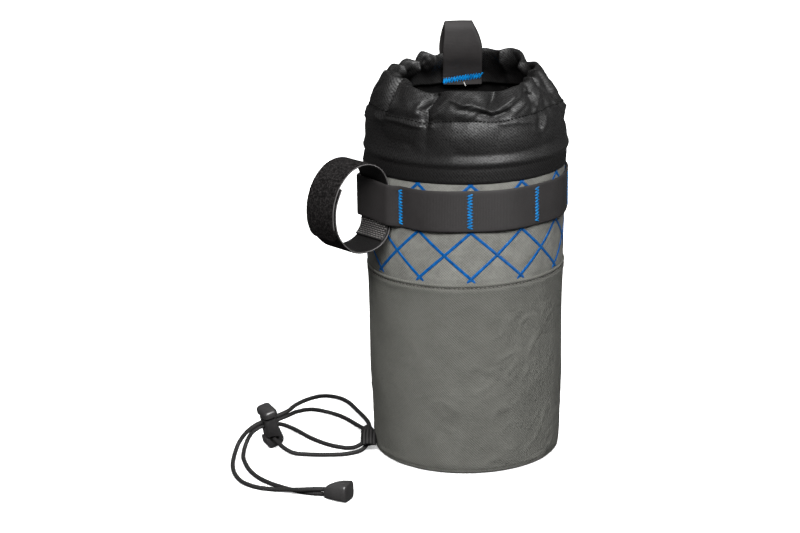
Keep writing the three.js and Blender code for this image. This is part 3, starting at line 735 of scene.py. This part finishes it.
UPPER_RADIUS = ((118, 60.6), (122, 61.0), (144, 61.4), (164, 61.9), (187, 61.9))
UPPER_FOOT, UPPER_STEP, UPPER_ROWS, UPPER_COLUMNS = 118.2, 1.15, 60, 240
PUFF, PUFF_HALF, PUFF_FROM = 0.35, 3.2, 124
LATTICE = {"columns": 12, "first": 3.3, "crossing": 126.0, "start": 123.7, "top": 187, "slope": 15 / 14.5}
LATTICE_STEPS, LATTICE_HALF, MM_PER_DEGREE = 56, 1.05, 1.07
LATTICE_SECTION = ((-1, -0.3), (-0.8, 0.2), (-0.3, 0.42), (0.3, 0.42), (0.8, 0.2), (1, -0.3))


def lattice_distance(angle, z):
    """Millimetres round the bag to the nearest thread line."""
    pitch = 360 / LATTICE["columns"]
    lean = (z - LATTICE["crossing"]) * LATTICE["slope"]
    from_first = angle - LATTICE["first"]
    near = min(abs((from_first + way * lean + pitch / 2) % pitch - pitch / 2) for way in (-1, 1))
    return near * MM_PER_DEGREE


def upper_surface(angle, z):
    puff = PUFF * (1 - mound(lattice_distance(angle, z), PUFF_HALF)) if z > PUFF_FROM else 0.1
    return eased(UPPER_RADIUS, z) + puff + 0.35 * wave(angle, z, 3.2, 0.03, 0.4) - 0.2


def lattice_rings(foot, way):
    """One thread line up the cloth from its foot, leaning either way."""
    rings = []
    for step in range(LATTICE_STEPS + 1):
        z = LATTICE["start"] + (LATTICE["top"] - LATTICE["start"]) * step / LATTICE_STEPS
        angle = foot + way * (z - LATTICE["crossing"]) * LATTICE["slope"]
        out = round_bag(angle, 1, 0)
        along = (out.cross(UP) * -way + UP * 0.9).normalized()
        across = along.cross(out)
        middle = round_bag(angle, upper_surface(angle, z) + 0.05, z)
        end = min(1, step / 1.5 + 0.35)
        rings.append([middle + across * (LATTICE_HALF * end * a) + out * (b * end)
                      for a, b in LATTICE_SECTION])
    return rings


def make_upper_body():
    def place(angle, row):
        z = UPPER_FOOT + UPPER_STEP * row
        sway = (seam_at(angle) - SEAM_HEIGHT) * (1 - row / UPPER_ROWS)
        return round_bag(angle, upper_surface(angle, z), z + sway)

    piece = rolled_cloth("upper_cloth", UPPER_COLUMNS, UPPER_ROWS, place, ROUND, ["upper", "lining"])
    thicken(piece, PADDED_WALL)
    settle(piece, "bag", "upper_cloth", "upper_body")
    feet = [LATTICE["first"] + 360 / LATTICE["columns"] * k for k in range(LATTICE["columns"])]
    runs = [lattice_rings(foot, way) for foot in feet for way in (-1, 1)]
    sewn("lattice_thread", runs, "blue", "upper_cloth")


# Collar: hem, throat and gathered casing in one cloth, turned in at the rim

COLLAR_WALL, COLLAR_ROUND, COLLAR_COLUMNS, COLLAR_STEPS, PER_SPAN = 0.7, 400.0, 348, 100, 12
COLLAR_PROFILE = (
    (184.2, 61.0, 0, 0), (184.8, 62.4, 0, 0), (186.2, 62.8, 0, 0), (188.6, 62.7, 0, 0), (191.0, 62.6, 0, 0),
    (192.6, 62.4, 0, 0), (194.0, 62.3, 0, 0), (195.4, 63.0, 0, 0), (197.0, 63.4, 0, 0),
    (198.9, 62.9, 0.05, 0), (201.4, 62.2, 0.1, 0), (205, 61.9, 0.2, 0), (209, 61.6, 0.3, 0),
    (213, 61.2, 0.35, 0), (217, 60.5, 0.3, 0),
    (219.6, 59.8, 0.28, 0.05), (221.4, 59.0, 0.3, 0.1), (222.6, 58.7, 0.32, 0.12), (224, 58.7, 0.45, 0.18),
    (227.5, 58.2, 0.7, 0.32), (231, 56.6, 0.9, 0.5), (235, 54.0, 1, 0.72), (238.2, 51.7, 1, 0.9),
    (240.4, 50.0, 1, 1), (241.3, 49.0, 1, 1), (240.9, 48.1, 1, 1), (239.4, 48.2, 1, 0.95),
    (236.5, 50.2, 1, 0.8), (232, 53.6, 0.9, 0.55), (228, 55.4, 0.7, 0.34), (224.5, 55.7, 0.5, 0.2),
    (222.5, 55.6, 0.35, 0.12),
)
CASING_SEAM = (
    (-180, 222.4), (-150, 221.6), (-120, 223), (-90, 222), (-67, 224.1), (-53, 221.9), (-40, 222.2),
    (-30, 221.4), (-23, 219.8), (-17, 221.9), (3, 222.7), (17, 221.3), (31, 223), (48, 223.6), (68, 224.2),
    (90, 222.2), (120, 223), (150, 221.8), (180, 222.4),
)
CASING_STITCH, CASING_STITCH_TURN, CASING_STITCH_PROUD = {"length": 1.6, "thick": 0.8}, 2.35, 0.15
COLLAR_TOP, COLLAR_LEAN, LEAN_FROM, LEAN_OVER = 241.3, 1.0, 187, 8
RIM_HEIGHT = (
    (-180, 244.8), (-166, 244.8), (-157, 243.0), (-146, 246.0), (-138, 241.6), (-131, 243.2), (-120, 240.6),
    (-109, 243.0), (-97, 239.6), (-86, 242.4), (-74, 244.0), (-60, 240.4), (-51, 239.9), (-38, 239.2),
    (-24, 236.0), (-10, 238.8), (8, 238.4), (21, 236.6), (33, 239.0), (46, 239.3), (58, 241.0),
    (72, 239.6), (84, 241.8), (98, 240.2), (112, 242.8), (124, 242.0), (133, 246.0), (145, 247.8),
    (156, 245.6), (166, 246.4), (180, 244.8),
)
GATHERS = (
    (-57, 5, 3.0), (-23, 4, 2.4), (18, 5, 1.8), (47, 5, 1.0), (67, 6, 2.2), (96, 6, 3.6),
    (124, 5, 4.0), (150, 4.5, 3.6), (-155, 4, 2.8), (-138, 4.5, 4.0), (-116, 5, 4.0), (-94, 5.5, 3.8),
)
LOBE_RISE, LOBE_WIDEST, CRISP, FOLD_DEPTH = 0.095, 36, 1.4, 1.35
CASING_FOOT, CASING_MIDDLE, CASING_HALF, CASING_PUFF = 222, 235, 4.5, 4.0
PUCKERED, CRUMPLED, SLACK_THROAT = (222.2, 4.5), (233, 8), (208, 10)
CRUMPLE, CRUMPLE_LEVEL = 4.5, 0.22
TAPER_RIGHT, TAPER_LEFT, TAPER_FROM = 5.0, 3.0, 0.3
FOLDS = (
    (((-62, 243), (-58, 237), (-55, 230), (-55, 224)), 2.6, -3.6),
    (((-51, 241), (-47.5, 233), (-48.5, 227), (-52, 222.6)), 2.0, 1.6),
    (((-19, 239), (-22.5, 233), (-25, 229), (-23.4, 225), (-23, 219.5)), 1.8, -3.6),
    (((-11, 237.4), (-15, 232.4), (-19, 229), (-20, 225)), 2.2, 1.6),
    (((-27, 237), (-29, 232), (-29.5, 227)), 2.2, 1.2),
    (((-8, 236.4), (-2, 233.6), (4, 233.8), (8, 231.6), (15, 228.6), (19, 229.6), (23, 232.4),
      (30, 236.5)), 2.3, 1.9),
    (((8, 227.4), (16, 224.6), (24, 227.2)), 2.6, -2.2),
    (((-6, 230.4), (0, 229.6), (5, 228.6)), 2.4, -0.9),
    (((21, 240), (18.6, 235.4), (15.4, 232.8)), 2.2, -2.6),
    (((42, 236.6), (47, 233.4), (45.5, 230), (42.5, 228)), 1.7, -1.4),
    (((44.5, 238), (50.4, 233.6), (49, 229), (45.4, 226)), 1.9, 0.8),
    (((66, 240), (61, 233), (58, 226)), 3.6, -2.4),
    (((70, 240), (65.5, 232.4), (70, 224.5), (75, 217)), 2.0, 1.2),
    (((80, 241), (76, 231), (80, 222)), 3.0, -2.6),
    (((-64, 219), (-57, 217.6), (-51, 220), (-41, 220.2), (-34, 219.4), (-27, 218.3), (-20, 219)), 1.8, 1.6),
    (((20, 220.4), (30, 220.4), (41, 218.8)), 1.6, 0.8),
    (((42, 217.4), (42, 214), (44, 212), (48, 212), (51, 215.6), (53, 220)), 1.5, 0.6),
    (((46.4, 218), (46.4, 214.8)), 1.9, -0.9),
    (((-62, 209), (-48, 207), (-34, 206)), 9.0, -2.0),
    (((-4, 212), (12, 210), (26, 211)), 14.0, 0.6),
    (((-4, 202.6), (20, 201.6), (44, 203), (60, 204)), 3.6, -0.7),
    (((72, 219), (82, 213), (90, 209)), 3.0, -1.2),
    (((90, 219), (100, 213), (112, 211)), 2.2, 1.1),
    (((110, 208), (128, 206), (146, 209)), 5.0, -1.5),
    (((-104, 220), (-116, 213), (-122, 206)), 3.0, -1.6),
    (((-92, 219), (-98, 212), (-112, 209)), 2.0, 1.2),
    (((-150, 206), (-168, 204), (174, 206)), 5.0, -1.3),
    (((156, 219), (160, 212), (172, 209)), 2.4, -1.3),
    (((-80, 218), (-92, 216), (-99, 211)), 2.0, 0.9),
    (((-136, 220), (-146, 214), (-152, 211)), 2.4, 1.2),
    (((128, 220), (136, 215), (148, 214)), 2.0, 1.1),
)


def collar_profile():
    """The profile in equal steps: height, radius, gather share and tilt share."""
    line = curve_through([Vector(row[:2]) for row in COLLAR_PROFILE], PER_SPAN)
    rows = [Vector(row[2:]) for row in COLLAR_PROFILE]
    shares = [low.lerp(high, k / PER_SPAN) for low, high in zip(rows, rows[1:]) for k in range(PER_SPAN)]
    shares.append(rows[-1])
    return [(*line[i].lerp(line[i + 1], t), *shares[i].lerp(shares[i + 1], t))
            for i, t in steps_along(line, COLLAR_STEPS)]


def fold_height(angle, z):
    """The single folds: each follows its line, in or out."""
    total = 0.0
    for line, half, height in FOLDS:
        nearest = 1e9
        for (a0, z0), (a1, z1) in zip(line, line[1:]):
            ax, az = angle_between(a1, a0), z1 - z0
            px, pz = angle_between(angle, a0), z - z0
            t = max(0, min(1, (px * ax + pz * az) / (ax * ax + az * az)))
            nearest = min(nearest, (px - t * ax) ** 2 + (pz - t * az) ** 2)
            if abs(px) > 90:
                break
        if nearest < 9 * half * half:
            total += height * math.exp(-(math.sqrt(nearest) / half) ** CRISP)
    return FOLD_DEPTH * total


def clear_of_loop(angle, half=20):
    return 1 - mound(angle_between(angle, 180), half)


def gather_depth(angle):
    """How far the casing is drawn in: tight valleys, and a round lobe between each two."""
    valleys = sorted(at for at, across, deep in GATHERS)
    before = max((at for at in valleys if at <= angle), default=valleys[-1] - 360)
    after = min((at for at in valleys if at > angle), default=valleys[0] + 360)
    width = after - before
    lobe = LOBE_RISE * min(width, LOBE_WIDEST) * (1 - (2 * (angle - before) / width - 1) ** 2)
    drawn = sum(deep * math.exp(-abs(angle_between(angle, at) / across) ** CRISP)
                for at, across, deep in GATHERS)
    return drawn - lobe * clear_of_loop(angle)


def pucker(angle, z):
    """Small puckers along the casing's stitch line, and crumples in the throat and casing."""
    def near(height, half):
        return mound(z - height, half)

    up = z - CASING_FOOT
    small = wave(angle, z, 11, 0.02) + 0.5 * wave(angle, z, 23, 0.04)
    loose = 1.4 * wave(angle + up * 0.8, z, 6.5, 0.06)
    tight = 0.9 * wave(angle - up * 1.3, z, 13, 0.13)
    throat = 0.7 * wave(angle, z, 2.2, 0.05) + 0.3 * wave(angle, z, 7, 0.1, 1)
    casing = (loose + tight) * near(*CRUMPLED) * clear_of_loop(angle, 17) if up > 0 else 0
    return 0.6 * small * near(*PUCKERED) + casing + throat * near(*SLACK_THROAT)


def side_taper(angle, gather):
    """The drawn casing leans in at both sides of the bag."""
    side = math.sin(math.radians(angle))
    full = TAPER_RIGHT if side > 0 else TAPER_LEFT
    return full * abs(side) ** 3 * max(0, gather - TAPER_FROM) / (1 - TAPER_FROM)


def collar_point(angle, z, radius, gather, tilt, inside=False):
    if inside:
        ridge = CRUMPLE_LEVEL - abs(wave(angle, z, 7.5, 0.1, 0.9))
        puffed = (CASING_PUFF + CRUMPLE * ridge) * mound(z - CASING_MIDDLE, CASING_HALF)
        radius -= puffed * clear_of_loop(angle)
    lift = eased(RIM_HEIGHT, angle_between(angle, 0)) - COLLAR_TOP
    drawn_in = gather_depth(angle) * gather
    moved = fold_height(angle, z) + pucker(angle, z) - drawn_in - side_taper(angle, gather)
    lean = COLLAR_LEAN * min(1, max(0, (z - LEAN_FROM) / LEAN_OVER))
    return round_bag(angle, radius + moved, z + lift * tilt) + Vector((lean, 0, 0))


def make_collar():
    rows = collar_profile()
    rim = rows.index(max(rows))
    piece = rolled_cloth("collar_cloth", COLLAR_COLUMNS, COLLAR_STEPS,
                         lambda angle, row: collar_point(angle, *rows[row], inside=row > rim),
                         COLLAR_ROUND, ["collar", "collar inside"])
    thicken(piece, COLLAR_WALL)
    settle(piece, "bag", "collar_cloth", "collar")
    count = round(360 / CASING_STITCH_TURN)
    runs = []
    outer = rows[:rim]
    for k in range(count):
        angle = 360 * k / count - 180
        seam = eased(CASING_SEAM, angle)
        i = min(j for j in range(len(outer)) if outer[j][0] > seam)
        t = (seam - outer[i - 1][0]) / (outer[i][0] - outer[i - 1][0])
        row = [low + (high - low) * t for low, high in zip(outer[i - 1], outer[i])]
        here, after = (collar_point(angle + turn, *row) for turn in (0, 0.5))
        out = round_bag(angle, 1, 0)
        runs.append(stitch(here + out * CASING_STITCH_PROUD, (after - here).normalized(), out,
                           **CASING_STITCH))
    sewn("casing_stitches", runs, "black thread", "collar_cloth")


# Webbing band: flat over the strap, a little slack between its other bar tacks

WEBBING_WIDTH, WEBBING_THICK = 25, 1.4
BAND_BOTTOM, BAND_LOOPS, FIRST_TACK, BAND_SLACK = 156, 9, 2.8, 1.2
BAND_SEAT, BAND_OVER_STRAP, BAND_STEPS = 62.3, 65.65, 240
BAND_STRAP_ROWS, BAND_LIFT, BAND_LIFT_AT = (23, 21, 15, 9, 3, -2, -4), 2.2, (-68, 18)
BAND_TACK, BAND_TACK_START = {"length": 21, "width": 3.1, "pitch": 1.9, "thick": 0.9}, 2.0
STRAP_ANGLE, STRAP_NEAR_EDGE, STRAP_WIDTH, STRAP_THICK = -48, -3, 25, 1.5
STRAP_MIDDLE = STRAP_NEAR_EDGE + STRAP_WIDTH / 2


def band_line():
    pitch = 360 / BAND_LOOPS
    points = []
    for loop in range(BAND_LOOPS):
        tack = FIRST_TACK + loop * pitch
        points.append(round_bag(tack, BAND_SEAT, 0))
        if abs(angle_between(tack + pitch / 2, STRAP_ANGLE)) < pitch / 2:
            for across in BAND_STRAP_ROWS:
                points.append(facing_plane(STRAP_ANGLE)(BAND_OVER_STRAP, 0, across))
        else:
            for side in range(1, 8):
                radius = BAND_SEAT + BAND_SLACK * math.sin(math.pi * side / 8) ** 2
                points.append(round_bag(tack + pitch * side / 8, radius, 0))
    return even_steps(curve_through(points + points[:1], 6), BAND_STEPS)[:-1]


def band_lift(x, y):
    """The strap draws the band up a little where it passes behind it."""
    at, half = BAND_LIFT_AT
    return BAND_LIFT * mound(angle_between(math.degrees(math.atan2(x, -y)), at), half)


def make_webbing_band():
    line = [point.to_2d() for point in band_line()]
    outs = [-normal for normal in normals_of(line, looped=True)]
    middle = BAND_BOTTOM + WEBBING_WIDTH / 2
    thick = WEBBING_THICK

    def place(i, across, out):
        point = line[i] + outs[i] * (out + thick / 2)
        sway = 0.25 * noise.noise(Vector((point.x, point.y, 0)) * 0.06)
        return Vector((*point, middle - across + sway + band_lift(*point)))

    piece = flat_strip("band_webbing", len(line), place, WEBBING_WIDTH, thick, "webbing", looped=True)
    settle(piece, "bag", "webbing", "webbing_band")
    runs = []
    for loop in range(BAND_LOOPS):
        angle = FIRST_TACK + loop * 360 / BAND_LOOPS
        out = round_bag(angle, 1, 0)
        start = round_bag(angle, BAND_SEAT + thick + 0.05, BAND_BOTTOM + BAND_TACK_START)
        start.z += band_lift(start.x, start.y)
        runs.append(zigzag(start, UP, out.cross(UP), out, **BAND_TACK))
    sewn("band_tacks", runs, "bright blue", "webbing")


# Strap ring: loop pile outside, smooth inside, its end pressed on inside the first rows

STRAP_RING = (
    (103.2, 152.5), (106.4, 162), (106.0, 174), (101.0, 185.5), (91.5, 193.8), (80.0, 195.8), (70.0, 191.5),
    (64.9, 184), (63.3, 176), (63.3, 156.5), (65.4, 149.6), (71.2, 144.6), (80.5, 142.4), (92.0, 144.6),
)
STRAP_CENTRE = Vector((84, 169))
STRAP_OVERLAP_ROWS, STRAP_STEPS, STRAP_CORNER, CORNER_ROWS = 4, 150, 5, 12
EDGE_HIGHLIGHT_FROM, EDGE_HIGHLIGHT_RADIUS = 4, 0.34
GRIP_THICK, GRIP_BOTTOM, GRIP_TOP, GRIP_MARGIN = 1.0, 146.6, 173, 1.2
RIB = {"first": 0.7, "pitch": 1.35, "step": 2.5, "half": 0.8, "radius": 0.28, "proud": 0.05}


def strap_line():
    rows = [Vector(row) for row in STRAP_RING]
    inside = []
    for row in rows[:STRAP_OVERLAP_ROWS]:
        inward = STRAP_CENTRE - row
        inside.append(row + inward * ((STRAP_THICK + 0.6) / inward.length))
    return even_steps(curve_through(rows + inside, 12), STRAP_STEPS)


def make_strap():
    line = strap_line()
    normals = normals_away(line, STRAP_CENTRE)
    plane = facing_plane(STRAP_ANGLE)
    last = len(line) - 1
    total = distances(line)[-1]

    def place(i, across, out):
        corner = max(0, abs(across) - (STRAP_WIDTH / 2 - STRAP_CORNER))
        back = (STRAP_CORNER - math.sqrt(max(0, STRAP_CORNER ** 2 - corner * corner))) / total * last
        at = min(max(i, back * (1 - i / CORNER_ROWS) + i if i < CORNER_ROWS else i), last)
        k = min(int(at), last - 1)
        point = line[k].lerp(line[k + 1], at - k)
        normal = normals[k].lerp(normals[k + 1], at - k)
        fuzz = 0.12 * noise.noise(Vector((at * 1.7, across * 1.2, 3))) if out > 0 else 0
        return plane(*(point + normal * (out + fuzz)), across + STRAP_MIDDLE)

    piece = flat_strip("strap_ring", len(line), place, STRAP_WIDTH, STRAP_THICK, "pile", "strap")
    settle(piece, "bag", "strap_pile", "strap")
    # A pale tube along the strap's near edge: painted highlight on the edge.
    edge = [place(i, -STRAP_WIDTH / 2, 0) for i in range(EDGE_HIGHLIGHT_FROM, last + 1)]
    sewn("strap_rim_painted_highlight", [tube_rings(edge, EDGE_HIGHLIGHT_RADIUS, 6)], "strap rim highlight", "strap_pile")


def make_strap_grip():
    line = strap_line()
    lift = (STRAP_THICK + GRIP_THICK) / 2 + 0.3
    rows = [(p - n * lift, -n) for p, n in zip(line, normals_away(line, STRAP_CENTRE))]
    rows = [(p, n) for p, n in rows if p.x < STRAP_CENTRE.x and GRIP_BOTTOM < p.y < GRIP_TOP]
    plane = facing_plane(STRAP_ANGLE)

    def place(i, across, out):
        point, normal = rows[i]
        return plane(*(point + normal * out), across + STRAP_MIDDLE)

    piece = flat_strip("grip_strip", len(rows), place, STRAP_WIDTH, GRIP_THICK, "grip")
    settle(piece, "bag", "grip", "strap_grip")
    run = distances([p for p, n in rows])
    runs = []
    for row in range(int(run[-1] / RIB["pitch"])):
        here = RIB["first"] + row * RIB["pitch"]
        k = min(max(j for j in range(len(run)) if run[j] <= here), len(run) - 2)
        t = (here - run[k]) / (run[k + 1] - run[k])
        for column in range(-5, 5):
            across = (column + 0.5 + 0.5 * (row % 2)) * RIB["step"]
            if abs(across) > STRAP_WIDTH / 2 - GRIP_MARGIN:
                continue
            ends = []
            for side in (-RIB["half"], RIB["half"]):
                low, high = (place(j, across + side, GRIP_THICK / 2 + RIB["proud"]) for j in (k, k + 1))
                ends.append(low.lerp(high, t))
            runs.append(tube_rings([ends[0], ends[0].lerp(ends[1], 0.5), ends[1]], RIB["radius"], 6))
    sewn("grip_ribs", runs, "grip ribs", "grip")


# Pull loop and cord tab

PULL_LOOP_PATH = (
    (54.6, 222.4, -13.2, 11.3), (54.4, 227, -13.4, 11.4), (51.6, 234, -13.2, 11.6),
    (48.2, 240.6, -13.0, 11.7), (46.5, 247.5, -12.8, 11.7), (46.1, 254.4, -12.1, 9.3),
    (46.6, 260.4, -11.9, 6.8), (48.6, 263.4, -11.9, 5.6), (51.4, 261.2, -12.6, 6.6),
    (53.8, 255, -14.4, 9.6), (55.0, 246.5, -15.6, 11.9), (55.7, 238, -15.0, 11.2), (57.3, 230, -14.2, 10.8),
)
PULL_CENTRE, PULL_STEPS, PULL_LEG_ROWS, PULL_DROOP, DROOP_ROWS = Vector((49, 250)), 90, 30, 0.5, 12
PULL_TACK = {"from": (-13.2, 224.4), "to": (11.2, 228.0), "width": 3.6, "turns": 14, "per_turn": 6}
THREAD_END_TOP, THREAD_END_STEP = 223.6, (0.4, -0.9)
TAB_ANGLE, TAB_WIDTH, TAB_THICK, TAB_CENTRE = -85, 12, 1.6, Vector((62, 6))
TAB_PATH = (
    (57.6, 6.9), (59.6, 7.4), (61.0, 9.2), (63.2, 10.4), (65.8, 9.0), (66.9, 5.9), (65.8, 2.8), (63.0, 1.6),
    (60.9, 2.6), (59.5, 4.9), (57.4, 5.3),
)
TAB_FOLD = ((-7, 10.3), (-11, 10.5), (-14.5, 10.3), (-17.6, 9.4), (-19.6, 7.8), (-20.2, 6.2))
TAB_FOLD_MIDDLE, TAB_FOLD_WIDTH, TAB_CROWN = -62.2, 10, 0.06


def make_pull_loop():
    line = even_steps(curve_through([Vector(row) for row in PULL_LOOP_PATH], 12), PULL_STEPS)
    flat = [Vector((p.x, p.y)) for p in line]
    normals = normals_away(flat, PULL_CENTRE)

    def place(i, across, out):
        back, up = flat[i] + normals[i] * out
        x = line[i].z + (line[i].w - line[i].z) * (across + 0.5)
        droop = PULL_DROOP * (1 - 4 * across * across) * max(0, 1 - i / DROOP_ROWS)
        return Vector((x, math.sqrt(back * back - x * x), up - droop))

    piece = flat_strip("pull_loop_webbing", len(line), place, 1, WEBBING_THICK, "webbing")
    settle(piece, "bag", "webbing", "pull_loop")
    leg = [(p.y, p.x) for p in flat[:PULL_LEG_ROWS]]

    def on_leg(x, z, proud):
        back = eased(leg, z) - WEBBING_THICK / 2 - proud
        return Vector((x, math.sqrt(back * back - x * x), z))

    (x0, z0), (x1, z1) = PULL_TACK["from"], PULL_TACK["to"]
    count = PULL_TACK["turns"] * PULL_TACK["per_turn"]
    thread = []
    for k in range(count + 1):
        t, swing = k / count, math.cos(2 * math.pi * k / PULL_TACK["per_turn"])
        rise = PULL_TACK["width"] / 2 * swing * (1 + 0.3 * noise.noise(Vector((k * 0.7, 0, 5))))
        thread.append(on_leg(x0 + (x1 - x0) * t + 0.35 * rise, z0 + (z1 - z0) * t + rise, 0.25))
    sewn("pull_loop_tack", [tube_rings(thread, 0.5, 6)], "bright blue", "webbing")
    right, up = THREAD_END_STEP
    tail = [on_leg(right * k, THREAD_END_TOP + up * k, 0.3) for k in range(4)]
    sewn("pull_loop_thread_end", [tube_rings(tail, 0.28, 6)], "pale thread", "webbing")


def make_cord_tab():
    line = even_steps(curve_through([Vector(row) for row in TAB_PATH], 12), 40)
    normals = normals_away(line, TAB_CENTRE)
    plane = facing_plane(TAB_ANGLE)
    piece = flat_strip("cord_tab_webbing", len(line),
                       lambda i, across, out: plane(*(line[i] + normals[i] * out), across),
                       TAB_WIDTH, TAB_THICK, "ribbed")
    settle(piece, "bag", "webbing", "cord_tab")
    over = even_steps(curve_through([Vector(row) for row in TAB_FOLD], 8), 24)
    outs = [n if n.y - n.x > 0 else -n for n in normals_of(over)]

    def place(i, across, out):
        y, z = over[i] + outs[i] * out
        return Vector((TAB_FOLD_MIDDLE + across, y, z - TAB_CROWN * across * across))

    fold = flat_strip("cord_tab_fold", len(over), place, TAB_FOLD_WIDTH, TAB_THICK, "tab face with painted groove shade")
    settle(fold, "bag", "webbing")


# Moulded pieces on the cord: node, piece, edge radius, finish and body

MOULDINGS = (
    ("cord_lock_body", "lock_body", 0.35, "moulding", "bag"),
    ("cord_lock_button", "lock_button_cap", 0.5, "moulding", "lock_button"),
    ("cord_end", "cord_end_moulding", 0.5, "end", "bag"),
)


def softened_copy(node, name, width, material):
    """The node's own shape with its edges rounded."""
    piece = placed(name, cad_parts[node].data.copy())
    choose(piece)
    merge_doubles(lambda: bpy.ops.mesh.dissolve_limited(angle_limit=math.radians(2)))
    edges = piece.modifiers.new("soft edges", "BEVEL")
    edges.width = width * MM
    edges.segments = 2
    edges.limit_method = "ANGLE"
    edges.angle_limit = math.radians(50)
    bpy.ops.object.modifier_apply(modifier="soft edges")
    redress(piece, material)
    smooth_by_angle(piece, 35)
    return piece


def make_moulding(node, name, width, material, body):
    piece = softened_copy(node, name, width, material)
    settle(piece, body, "moulding", node)
    return piece


set_camera()
cord, route = make_cord()
lock, button, cord_end = (make_moulding(*row) for row in MOULDINGS)
distances(route)[-1] * MM
[tuple(p * MM) for p in route]
make_lower_body()
make_upper_body()
make_collar()
make_webbing_band()
make_strap()
make_strap_grip()
make_pull_loop()
make_cord_tab()
redress(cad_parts["base_panel"], "base")
set_stage()

bpy.context.view_layer.update()
